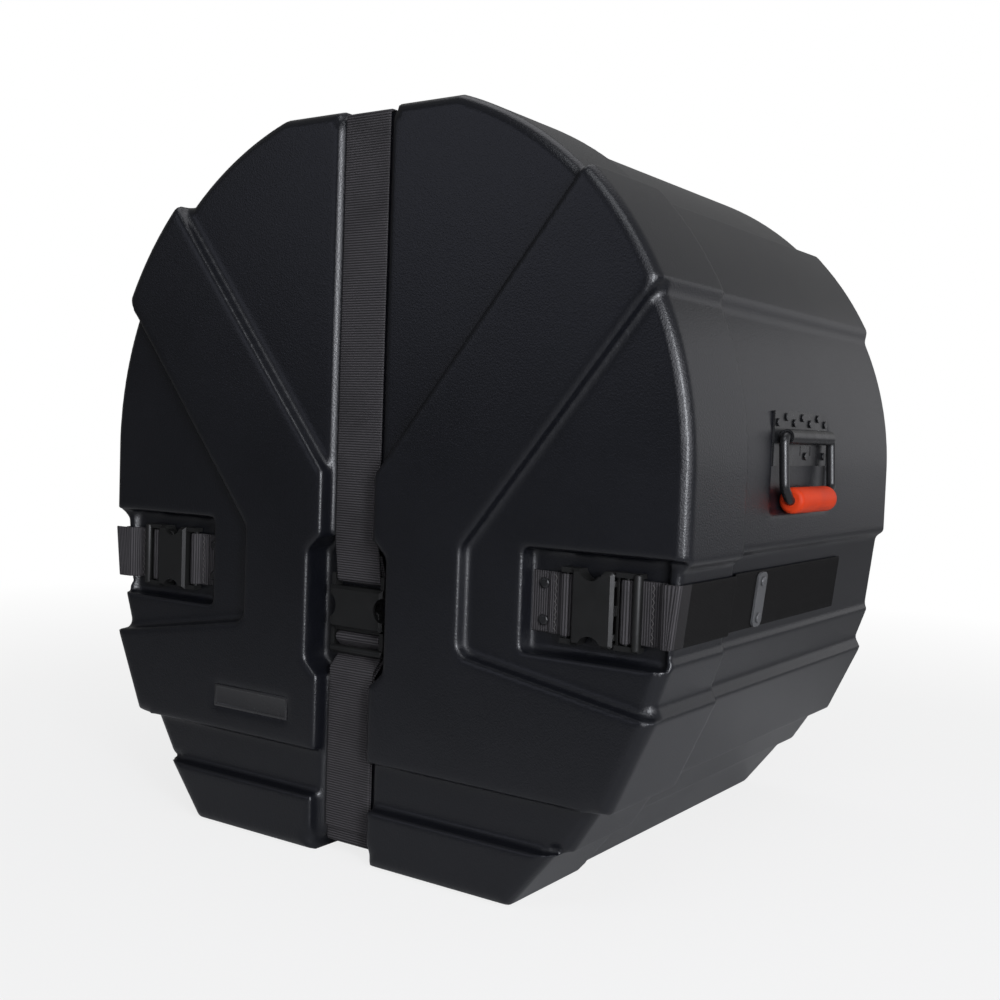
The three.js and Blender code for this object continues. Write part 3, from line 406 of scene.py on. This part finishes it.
def webbing_cloth(name, low, high, lint, gloss):
    look = Look(name)
    flat = look.add("ShaderNodeUVMap").outputs["UV"]
    parts = look.add("ShaderNodeSeparateXYZ", {"Vector": flat})
    along = look.maths("MULTIPLY", parts.outputs["X"], 2 * math.pi / rib_pitch)
    # The rib tops are painted light and the grooves between them dark: a painted highlight and painted
    # shade of the ribs
    rib_light_and_shade = look.ramp(look.maths("COSINE", along), -0.5, 0.35)
    across = look.maths("MULTIPLY", parts.outputs["Y"], 2 * math.pi / thread_pitch)
    thread = look.ramp(look.maths("SINE", across), -1.0, 1.0)
    fibre = look.noise(2600.0, 3.0, 0.7)
    worn = look.noise(24.0, 4.0)
    colour = look.mix(rib_light_and_shade, low, high)
    colour = look.mix(look.maths("MULTIPLY", fibre, 0.3), colour, lint)
    colour = look.mix(look.ramp(worn, 0.45, 0.7, 0.0, 0.25), colour, low)
    height = look.maths("ADD", look.maths("MULTIPLY", thread, 0.6), look.maths("MULTIPLY", fibre, 0.6))
    normal = look.bump(height, 0.00025, 0.6)
    return look.done(Base_Color=colour, Roughness=0.72, Normal=normal, Specular_IOR_Level=gloss)


def buckle_plastic():
    look = Look("buckle_plastic")
    grain = look.noise(1300.0, 3.0, 0.6)
    drift = look.noise(60.0, 3.0)
    colour = look.mix(drift, (0.0055, 0.0056, 0.0054), (0.0085, 0.0086, 0.0083))
    rough = look.ramp(drift, 0.3, 0.7, 0.4, 0.48)
    normal = look.bump(grain, 0.0002, 0.25)
    return look.done(Base_Color=colour, Roughness=rough, Normal=normal, Specular_IOR_Level=0.36)


def coated_steel(name, low, high, smoothest, roughest):
    look = Look(name)
    grain = look.noise(900.0, 2.0)
    drift = look.noise(70.0, 4.0)
    colour = look.mix(drift, low, high)
    rough = look.ramp(drift, 0.3, 0.7, smoothest, roughest)
    return look.done(Base_Color=colour, Roughness=rough, Normal=look.bump(grain, 0.0002, 0.2))


def grip_rubber():
    look = Look("orange_grip")
    grain = look.noise(1500.0, 3.0, 0.6)
    drift = look.noise(45.0, 4.0)
    colour = look.mix(look.ramp(drift, 0.3, 0.7), (0.42, 0.028, 0.0055), (0.53, 0.041, 0.008))
    colour = look.mix(look.ramp(look.noise(160.0, 5.0), 0.6, 0.8, 0.0, 0.3), colour, (0.36, 0.02, 0.004))
    rough = look.ramp(drift, 0.3, 0.7, 0.42, 0.55)
    normal = look.bump(grain, 0.0003, 0.35)
    return look.done(Base_Color=colour, Roughness=rough, Normal=normal, Specular_IOR_Level=0.15)


def plate_lacquer():
    look = Look("plate_lacquer")
    grain = look.noise(700.0, 2.0)
    drift = look.noise(30.0, 3.0)
    colour = look.mix(drift, (0.012, 0.012, 0.013), (0.018, 0.018, 0.019))
    rough = look.ramp(drift, 0.3, 0.7, 0.22, 0.32)
    normal = look.bump(grain, 0.0001, 0.15)
    return look.done(
        Base_Color=colour, Roughness=rough, Normal=normal, Coat_Weight=0.4, Coat_Roughness=0.12
    )


def case_foam():
    look = Look("case_foam")
    pores = look.cells(700.0)
    coarse = look.noise(320.0, 4.0, 0.7)
    drift = look.noise(12.0, 3.0)
    # The pores are painted darker than the cell walls round them: painted shade inside the open cells
    colour = look.mix(look.ramp(pores, 0.0, 0.6), (0.016, 0.016, 0.017), (0.05, 0.05, 0.052))
    colour = look.mix(look.ramp(drift, 0.35, 0.7, 0.0, 0.4), colour, (0.034, 0.034, 0.036))
    normal = look.bump(look.maths("ADD", pores, coarse), 0.001, 0.6)
    return look.done(Base_Color=colour, Roughness=0.93, Normal=normal)


def thread_cloth():
    look = Look("stitch_thread")
    strand = look.noise(3000.0, 2.0)
    colour = look.mix(strand, (0.045, 0.042, 0.042), (0.085, 0.08, 0.078))
    return look.done(Base_Color=colour, Roughness=0.7, Normal=look.bump(strand, 0.0002, 0.5))


plastic = moulded_plastic()
# The first colour is the painted shade in the rib grooves, which worn patches also turn to, and the second
# the painted light on the rib tops
cloth = webbing_cloth(
    "ribbed_webbing", (0.0025, 0.0023, 0.0025), (0.05, 0.047, 0.05), (0.096, 0.091, 0.094), 0.2
)
# A darker copy of the same webbing, with weaker rib contrast: painted shade on the straps along the case's
# sides
shaded_side_cloth = webbing_cloth(
    "shaded_side_webbing", (0.0042, 0.004, 0.004), (0.0056, 0.0054, 0.0054), (0.009, 0.0085, 0.0085), 0.12
)
acetal = buckle_plastic()
steel = coated_steel("black_steel", (0.005, 0.0052, 0.0058), (0.009, 0.0093, 0.0102), 0.24, 0.34)
keeper_steel = coated_steel("keeper_steel", (0.05, 0.051, 0.053), (0.075, 0.076, 0.079), 0.3, 0.4)
stud_steel = coated_steel("stud_steel", (0.007, 0.0072, 0.0078), (0.012, 0.0123, 0.013), 0.13, 0.2)
orange = grip_rubber()
lacquer = plate_lacquer()
foam = case_foam()
thread = thread_cloth()

# Mouldings
lid_moulding = moulding(
    "lid_shell", "lid_moulding", grain=0.0022, passes=3, share=0.325, relief_passes=15
)
dress(lid_moulding, plastic, "shell", "lid", "lid_shell")
body_moulding = moulding("body_shell", "body_moulding", grain=0.0026, passes=3, share=0.215)
dress(body_moulding, plastic, "shell", "case", "body_shell")


# Foam
def foam_piece(node, name, body, ease):
    piece = eased_copy(node, name, ease, sharp=40)
    return dress(piece, foam, "foam", body, node)


foam_piece("lid_pad", "lid_foam", "lid", 0.004)
foam_piece("body_foam", "round_foam", "case", 0.004)
foam_piece("back_pad", "back_foam", "case", 0.003)


# Webbing: a flat tube with ribs across it, laid along a path whose corners are rounded off
def rounded(corners, radius=strap_bend):
    points = [Vector(corners[0])]
    for before, corner, after in zip(corners, corners[1:], corners[2:]):
        here = Vector(corner)
        back = Vector(before) - here
        ahead = Vector(after) - here
        half = (math.pi - back.angle(ahead)) / 2
        if half < least_bend:
            points.append(here)
            continue
        reach = min(radius * math.tan(half), back.length / 2, ahead.length / 2)
        start = here + back.normalized() * reach
        end = here + ahead.normalized() * reach
        for part in range(bend_parts + 1):
            share = part / bend_parts
            points.append((1 - share) ** 2 * start + 2 * share * (1 - share) * here + share**2 * end)
    points.append(Vector(corners[-1]))
    return points


def round_bar(across, up, start, turn):
    """Points of the webbing's turn round a bar, from one angle through another."""
    angles = np.radians(np.linspace(start, start + turn, 25))
    return [
        Vector((across + turn_radius * math.cos(angle), up + turn_radius * math.sin(angle)))
        for angle in angles
    ]


def path_length(points):
    return sum((after - before).length for before, after in zip(points, points[1:]))


def evenly(points, step):
    """Points on the same path at even steps, and their distances along it."""
    path = np.array([tuple(point) for point in points])
    gaps = np.linalg.norm(np.diff(path, axis=0), axis=1)
    keep = np.concatenate([[True], gaps > 1e-7])
    path = path[keep]
    reach = np.concatenate([[0], np.cumsum(np.linalg.norm(np.diff(path, axis=0), axis=1))])
    count = max(2, round(reach[-1] / step))
    places = np.linspace(0, reach[-1], count + 1)
    return np.stack([np.interp(places, reach, line) for line in path.T], axis=1), places


def edge_profile(width, thickness):
    """Across and outward places round a strap's cross section, with soft selvedges."""
    half = width / 2
    flat = np.linspace(-half + selvedge_flat, half - selvedge_flat, 9)
    turn = np.radians([60, 25, -25, -60])
    right = [
        (half - selvedge_round + selvedge_round * math.cos(angle), thickness / 2 * math.sin(angle))
        for angle in turn
    ]
    top = [(place, thickness / 2) for place in flat]
    bottom = [(place, -thickness / 2) for place in flat[::-1]]
    left = [(-place, -lift) for place, lift in right]
    return np.array(top + right + bottom + left)


def webbing(name, path, lay, start=0.0, plain=0.0):
    """Lays a strap along a plane path, without ribs up to the distance plain.

    lay(path points, across) gives the points in space.
    """
    step = rib_pitch / 4
    centre, places = evenly(path, step)
    ahead = np.gradient(centre, axis=0)
    ahead /= np.linalg.norm(ahead, axis=1)[:, None]
    out = np.stack([-ahead[:, 1], ahead[:, 0]], axis=1)
    ring = edge_profile(strap_width, strap_thickness - 2 * rib_height)
    rows, columns = len(centre), len(ring)
    bpy.ops.mesh.primitive_grid_add(x_subdivisions=columns, y_subdivisions=rows - 1, size=1)
    piece = named(name)
    wave = np.cos(2 * np.pi * (places + start) / rib_pitch) * rib_height
    wave[places < plain] = 0
    closed = np.vstack([ring, ring[:1]])
    middle = 1 - np.clip((np.abs(closed[:, 0]) - (strap_width / 2 - selvedge)) / selvedge, 0, 1)
    lift = closed[None, :, 1] + np.sign(closed[None, :, 1]) * wave[:, None] * middle[None, :]
    plane = centre[:, None, :] + out[:, None, :] * lift[:, :, None]
    shape = lay(plane, np.broadcast_to(closed[None, :, 0], lift.shape))
    piece.data.vertices.foreach_set("co", shape.reshape(-1).astype(np.float32))
    corner = np.zeros(len(piece.data.loops), np.int32)
    piece.data.loops.foreach_get("vertex_index", corner)
    along = np.where(places < plain, rib_pitch / 2, places + start)
    flat = np.stack([along[corner // (columns + 1)], closed[corner % (columns + 1), 0]], axis=1)
    piece.data.uv_layers[0].data.foreach_set("uv", flat.reshape(-1).astype(np.float32))
    in_edit(
        piece,
        lambda: bpy.ops.mesh.remove_doubles(threshold=0.00001),
        lambda: bpy.ops.mesh.select_all(action="DESELECT"),
        lambda: bpy.ops.mesh.select_non_manifold(),
        lambda: bpy.ops.mesh.edge_face_add(),
        lambda: bpy.ops.mesh.select_all(action="SELECT"),
        lambda: bpy.ops.mesh.normals_make_consistent(inside=False),
    )
    smooth_by_angle(piece, 50)
    return piece


def beside(way):
    """Lays a path of X and Y at strap height, leaning with the ledge on the case's side."""
    def lay(plane, across):
        turned = np.clip((plane[..., 0] - lip_edge) / lip_turn, 0, 1)
        lean = np.where(plane[..., 1] > pocket_back, 1, turned)
        x = plane[..., 0] + ledge_slope * across * lean
        return np.stack([way * x, plane[..., 1], strap_height + across], axis=-1)
    return lay


def down_middle(plane, across):
    """Lays a path of Y and Z down the middle of the case."""
    return np.stack([across, plane[..., 0], plane[..., 1]], axis=-1)


def side_straps(side, way):
    lid_side = lid_ledge + strap_lift / math.cos(math.atan(ledge_slope))
    body_side = body_ledge + strap_lift / math.cos(math.atan(ledge_slope))
    back = rounded([
        (body_side, side_strap_back),
        (body_side, step_back),
        (lid_side, step_front),
        (lid_side, side_strap_split),
    ])
    long_piece = webbing(f"long_webbing_{side}", back, beside(way))
    run = rounded([
        (lid_side, side_strap_split),
        (lid_side, lip_strap),
        (lip_edge - lip_inset, lip_strap),
        (lip_foot - lip_inset, inner_layer),
        (side_bar + bar_meet, inner_layer),
    ])
    wrap = round_bar(side_bar, bar_depth, 90, tail_wrap)
    tail = [Vector((side_bar + bar_clear, tail_layer))]
    over = lip_strap - tail_gap
    free_end = (right_tail_end, over) if way > 0 else (left_tail_end, over - left_tail_lift)
    tail += rounded([
        (side_bar + tail_straight, tail_layer),
        (lip_foot - tail_inset, tail_layer),
        (lip_edge - tail_inset, over),
        free_end,
    ])
    front_piece = webbing(
        f"buckle_webbing_{side}", run + wrap + tail, beside(way), path_length(back), plain_reach
    )
    anchor = [Vector((anchor_outer_end, tail_layer))]
    anchor += [Vector((side_housing_bar - bar_clear, tail_layer))]
    anchor += round_bar(side_housing_bar, bar_depth, 90 - tail_wrap, tail_wrap)
    anchor += [Vector((anchor_inner_end, inner_layer))]
    anchor_piece = webbing(f"anchor_webbing_{side}", anchor, beside(way))
    dress(anchor_piece, cloth, "webbing", "lid", f"anchor_strap_{side}")
    # The long side strap takes the darker copy of the webbing, with its painted shade
    dress(long_piece, shaded_side_cloth, "webbing", None, f"long_strap_{side}")
    dress(front_piece, cloth, "webbing", None)
    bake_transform(long_piece)
    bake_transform(front_piece)


def centre_straps():
    upper = rounded([
        (centre_strap_back, top_strap - lid_step),
        (step_back, top_strap - lid_step),
        (step_front, top_strap),
        (groove_strap, top_strap),
        (groove_strap, recess_top),
        (outer_layer, centre_housing_bar + bar_meet),
    ])
    upper += round_bar(bar_depth, centre_housing_bar, 180, 180)
    upper += [Vector((groove_strap + upper_end_lift, centre_housing_bar + upper_end_rise))]
    upper_piece = webbing("centre_webbing_upper", upper, down_middle)
    dress(upper_piece, cloth, "webbing", None, "centre_strap_upper")
    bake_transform(upper_piece)
    under = rounded([
        (centre_strap_back, floor_strap + lid_step),
        (step_back, floor_strap + lid_step),
        (step_front, floor_strap),
        (groove_strap, floor_strap),
        (groove_strap, centre_split),
    ])
    under_piece = webbing("centre_webbing_under", under, down_middle)
    dress(under_piece, cloth, "webbing", None, "centre_strap_lower")
    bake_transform(under_piece)
    lower = rounded([
        (groove_strap, centre_split),
        (groove_strap, recess_lip),
        (inner_layer, recess_floor),
        (inner_layer, centre_bar - bar_meet),
    ])
    lower += round_bar(bar_depth, centre_bar, 0, tail_wrap)
    lower += [Vector((tail_layer, centre_bar - bar_clear))]
    over = groove_strap - tail_gap
    lower += rounded([(tail_layer, centre_tail_leaves), (over, centre_tail_joins), (over, centre_tail_end)])
    lower_piece = webbing("centre_webbing_lower", lower, down_middle, path_length(under))
    dress(lower_piece, cloth, "webbing", None)
    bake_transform(lower_piece)


for side, way in sides:
    side_straps(side, way)
centre_straps()


# Buckles
def notched_housing(side, middle, across):
    """Cuts the two finger notches, which lie on both sides of middle in the direction across."""
    piece = copy_of(f"buckle_{side}_housing", f"housing_{side}")
    for way in (-1, 1):
        spot = middle + way * notch_offset * across
        cutter = cylinder(
            "notch", vertices=48, radius=notch_radius, depth=0.03, location=spot,
            rotation=(math.pi / 2, 0, 0),
        )
        finish_with(piece, "BOOLEAN", operation="DIFFERENCE", solver="EXACT", object=cutter)
        bpy.data.objects.remove(cutter)
    eased(piece, 0.0013)
    return dress(piece, acetal, "buckle", "lid", f"buckle_{side}_housing")


def end_bar(side, spot, turn):
    piece = settle(cylinder(
        f"end_bar_{side}", vertices=40, radius=end_bar_radius, depth=buckle_width, location=spot,
        rotation=turn,
    ))
    bevel(piece, width=0.0022, segments=4, sharp=50)
    smooth_by_angle(piece, 60)
    return dress(piece, acetal, "buckle", f"{side}_buckle")


for side, way in sides:
    notched_housing(side, Vector((way * side_notches, buckle_depth, strap_height)), Vector((0, 0, 1)))
    end_bar(side, (way * side_end_bar, end_bar_depth, strap_height), (0, 0, 0))
notched_housing("centre", Vector((0, buckle_depth, centre_notches)), Vector((1, 0, 0)))
end_bar("centre", (0, end_bar_depth, centre_end_bar), (0, math.pi / 2, 0))
for side in ("right", "left", "centre"):
    slider = eased_copy(f"buckle_{side}_frame", f"slider_{side}", 0.0016)
    dress(slider, acetal, "buckle", f"{side}_buckle", f"buckle_{side}_frame")
    for number in (1, 2):
        prong = eased_copy(f"buckle_{side}_prong_{number}", f"prong_{side}_{number}", 0.0008)
        dress(prong, acetal, "buckle", f"{side}_prong_{number}", f"buckle_{side}_prong_{number}")

# Keepers, rivets and name plate
for place in ("right", "left", "top", "floor"):
    keeper = eased_copy(f"keeper_{place}", f"keeper_bar_{place}", 0.0008)
    dress(keeper, keeper_steel, "black_steel", "case", f"keeper_{place}")
    for number in (1, 2):
        node = f"keeper_{place}_rivet_{number}"
        rivet = eased_copy(node, f"keeper_{place}_stud_{number}", 0.0006, sharp=20)
        dress(rivet, keeper_steel, "black_steel", "case", node)
for side in ("right", "left"):
    for number in (1, 2):
        node = f"anchor_{side}_rivet_{number}"
        rivet = eased_copy(node, f"anchor_{side}_stud_{number}", 0.0016, segments=4, sharp=20)
        dress(rivet, stud_steel, "black_steel", "lid", node)


def bordered_plate():
    """The bare plate, with a fine sunken line inside the edge of its face."""
    piece = copy_of("name_plate", "bare_plate")
    only(piece)
    bpy.context.tool_settings.mesh_select_mode = (False, False, True)
    for face in piece.data.polygons:
        face.select = face.normal.y < -0.9
    bpy.ops.object.mode_set(mode="EDIT")
    bpy.ops.mesh.inset(thickness=0.0024)
    bpy.ops.mesh.inset(thickness=0.0005, depth=-0.0005)
    bpy.ops.object.mode_set(mode="OBJECT")
    bevel(piece, width=0.0003, segments=2, sharp=30)
    smooth_by_angle(piece, 40)
    return dress(piece, lacquer, "plate", "lid", "name_plate")


bordered_plate()


# Stitching: one stitch, copied across each strap in a zig-zag
def stitch_row(name, places):
    first = cylinder(name, vertices=8, radius=0.00035, depth=0.0034)
    bevel(first, width=0.00015, segments=2, sharp=50)
    row = [first]
    for _ in places[1:]:
        stitch = first.copy()
        stitch.data = first.data.copy()
        bpy.context.scene.collection.objects.link(stitch)
        row.append(stitch)
    for stitch, (spot, tilt) in zip(row, places):
        stitch.location = spot
        stitch.rotation_euler = (0, tilt, 0)
    bpy.ops.object.select_all(action="DESELECT")
    for stitch in row:
        stitch.select_set(True)
    bpy.context.view_layer.objects.active = first
    bpy.ops.object.join()
    settle(first)
    smooth_by_angle(first, 50)
    return dress(first, thread, "webbing", None)


def zigzag(x):
    """Places and tilts of the stitches of a seam across the webbing at x."""
    count = round((seam_high - seam_low) / stitch_pitch)
    return [
        (Vector((x, seam_depth, z)), math.radians(stitch_tilt if number % 2 else -stitch_tilt))
        for number, z in enumerate(np.linspace(seam_low, seam_high, count))
    ]


for side, way in sides:
    seam = stitch_row(f"anchor_stitching_{side}", zigzag(way * anchor_seam))
    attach(seam, "lid")
    seam = stitch_row(f"tail_stitching_{side}", zigzag(way * tail_seam))
    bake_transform(seam)


# Handles
def bail(side, place):
    """The bent rod, as a closed loop of straight legs and rounded corners."""
    bend_foot = rod_bend - handle_drop
    corners = [
        (-leg_reach, 0), (-leg_reach, bend_foot), (rod_bend - leg_reach, -handle_drop),
        (leg_reach - rod_bend, -handle_drop), (leg_reach, bend_foot), (leg_reach, 0),
    ]
    loop = rounded([(0, 0), *corners, (0, 0)], rod_corner)[1:-1]
    curve = bpy.data.curves.new(f"bail_{side}", "CURVE")
    curve.dimensions = "3D"
    curve.bevel_depth = rod_radius
    curve.bevel_resolution = 6
    line = curve.splines.new("POLY")
    line.points.add(len(loop) - 1)
    for point, spot in zip(line.points, loop):
        point.co = (*(place @ Vector((0, spot.x, spot.y))), 1)
    line.use_cyclic_u = True
    only(add_object(f"bail_{side}", curve))
    bpy.ops.object.convert(target="MESH")
    rod = bpy.context.view_layer.objects.active
    smooth_by_angle(rod, 60)
    return dress(rod, steel, "black_steel", f"{side}_handle", f"handle_{side}_bail")


def grip(side, place):
    piece = cylinder(f"grip_{side}", vertices=56, radius=grip_radius, depth=grip_length)
    along = Matrix.Rotation(math.pi / 2, 4, "X")
    piece.matrix_world = place @ Matrix.Translation((0, 0, -handle_drop)) @ along
    settle(piece)
    bevel(piece, width=0.0045, segments=6, sharp=50)
    smooth_by_angle(piece, 60)
    return dress(piece, orange, "grip", f"{side}_handle", f"handle_{side}_grip")


def handle(side, way):
    plate = eased_copy(f"handle_{side}_plate", f"hinge_plate_{side}", 0.0004)
    dress(plate, steel, "black_steel", "case", f"handle_{side}_plate")
    backing = eased_copy(f"handle_{side}_backing", f"backing_{side}", 0.0005)
    dress(backing, steel, "black_steel", "case", f"handle_{side}_backing")
    turn = Matrix.Rotation(-way * handle_lean, 4, "Y")
    place = Matrix.Translation(Vector((way * hinge_place.x, hinge_place.y, hinge_place.z))) @ turn
    bail(side, place)
    grip(side, place)


for side, way in sides:
    handle(side, way)


# Stage
def stage_material():
    """A pale floor that turns to plain white with the distance, where the camera sees it."""
    look = Look("pale_floor")
    look.tree.nodes.remove(look.shader)
    grain = look.noise(3.0, 3.0)
    distance = look.add("ShaderNodeVectorMath", {0: look.place}, operation="LENGTH").outputs["Value"]
    colour = look.mix(grain, (0.34, 0.34, 0.34), (0.36, 0.36, 0.36))
    # Near the case the matte colour is lighter, a painted pool of light that brightens the case's lower
    # parts
    colour = look.mix(look.ramp(distance, 0.45, 0.85, 1.0, 0.0), colour, (0.6, 0.6, 0.6))
    matte = look.add("ShaderNodeBsdfDiffuse", {"Color": colour}).outputs[0]
    glow = look.add("ShaderNodeEmission", {"Color": (1, 1, 1, 1), "Strength": 1.0}).outputs[0]
    far = look.ramp(distance, 0.45, 1.9, 0.8, 1.0)
    seen = look.add("ShaderNodeLightPath").outputs["Is Camera Ray"]
    share = look.maths("MULTIPLY", far, seen)
    mixed = look.add("ShaderNodeMixShader", {0: share, 1: matte, 2: glow}).outputs[0]
    look.tree.links.new(mixed, look.tree.nodes["Material Output"].inputs["Surface"])
    return look.material


bpy.ops.object.select_all(action="DESELECT")
bpy.ops.mesh.primitive_plane_add(size=40, location=(0, 0, 0))
floor = named("floor")
floor.data.materials.append(stage_material())

# The world is white to the camera, and its light grows towards the right, the back and the top
world = bpy.data.worlds.new("studio")
bpy.context.scene.world = world
world.use_nodes = True
sky = world.node_tree
backdrop = sky.nodes["Background"]
ray = sky.nodes.new("ShaderNodeLightPath")
heading = sky.nodes.new("ShaderNodeTexCoord")
spread = sky.nodes.new("ShaderNodeVectorMath")
spread.operation = "DOT_PRODUCT"
spread.inputs[1].default_value = (0.62, 0.75, 0.25)
sky.links.new(heading.outputs["Generated"], spread.inputs[0])
shade = sky.nodes.new("ShaderNodeMapRange")
shade.inputs["From Min"].default_value = -0.8
shade.inputs["To Min"].default_value = 0.08
shade.inputs["To Max"].default_value = 0.3
sky.links.new(spread.outputs["Value"], shade.inputs["Value"])
white = sky.nodes.new("ShaderNodeMath")
white.operation = "MAXIMUM"
sky.links.new(ray.outputs["Is Camera Ray"], white.inputs[0])
sky.links.new(shade.outputs["Result"], white.inputs[1])
sky.links.new(white.outputs["Value"], backdrop.inputs["Strength"])
backdrop.inputs["Color"].default_value = (1, 1, 1, 1)


def lamp(name, place, aim, size, power, tint):
    light = bpy.data.lights.new(name, "AREA")
    light.shape = "RECTANGLE"
    light.size, light.size_y = size
    light.energy = power
    light.color = tint
    lamp_object = add_object(name, light)
    lamp_object.location = place
    lamp_object.visible_camera = False
    lamp_object.rotation_euler = (Vector(aim) - Vector(place)).to_track_quat("-Z", "Y").to_euler()


lamp("key_softbox", (2.3, -1.5, 0.95), (0.1, 0, 0.33), (3.6, 1.7), 64, (0.92, 0.93, 1.0))
lamp("edge_strip", (2.2, -1.55, 0.75), (0.2, -0.2, 0.33), (0.35, 1.6), 40, (0.92, 0.95, 1.0))
lamp("upper_softbox", (0.9, -1.3, 2.3), (0.1, -0.2, 0.4), (1.2, 0.8), 9, (0.92, 0.95, 1.0))
lamp("back_softbox", (1.75, 2.4, 0.85), (0.2, 0.1, 0.33), (2.2, 1.6), 4.2, (0.95, 0.95, 1.0))
lamp("top_softbox", (-0.2, 0.5, 2.7), (0, 0, 0.3), (2.0, 1.5), 10, (0.95, 0.95, 1.0))
lamp("front_softbox", (-1.6, -2.97, 1.5), (0, -0.25, 0.45), (2.0, 1.5), 5.5, (0.8, 0.83, 1.0))

# The camera of the photograph, with its axes as unit vectors
camera_data = bpy.data.cameras.new("camera")
camera_data.sensor_width = 36
camera_data.lens = 45.698
camera_data.clip_start = 0.05
camera = add_object("camera", camera_data)
camera_place = (0.7343269, -1.0840117, 0.3830500)
right = Vector((0.8233397, 0.5664656, 0.0350485))
up = Vector((-0.0592846, 0.0244233, 0.9979423))
away = Vector((0.5644440, -0.8237234, 0.0536913))
turn = Matrix((right, up, away)).transposed().to_4x4()
camera.matrix_world = Matrix.Translation(camera_place) @ turn
bpy.context.scene.camera = camera
bpy.context.scene.view_settings.view_transform = "Standard"
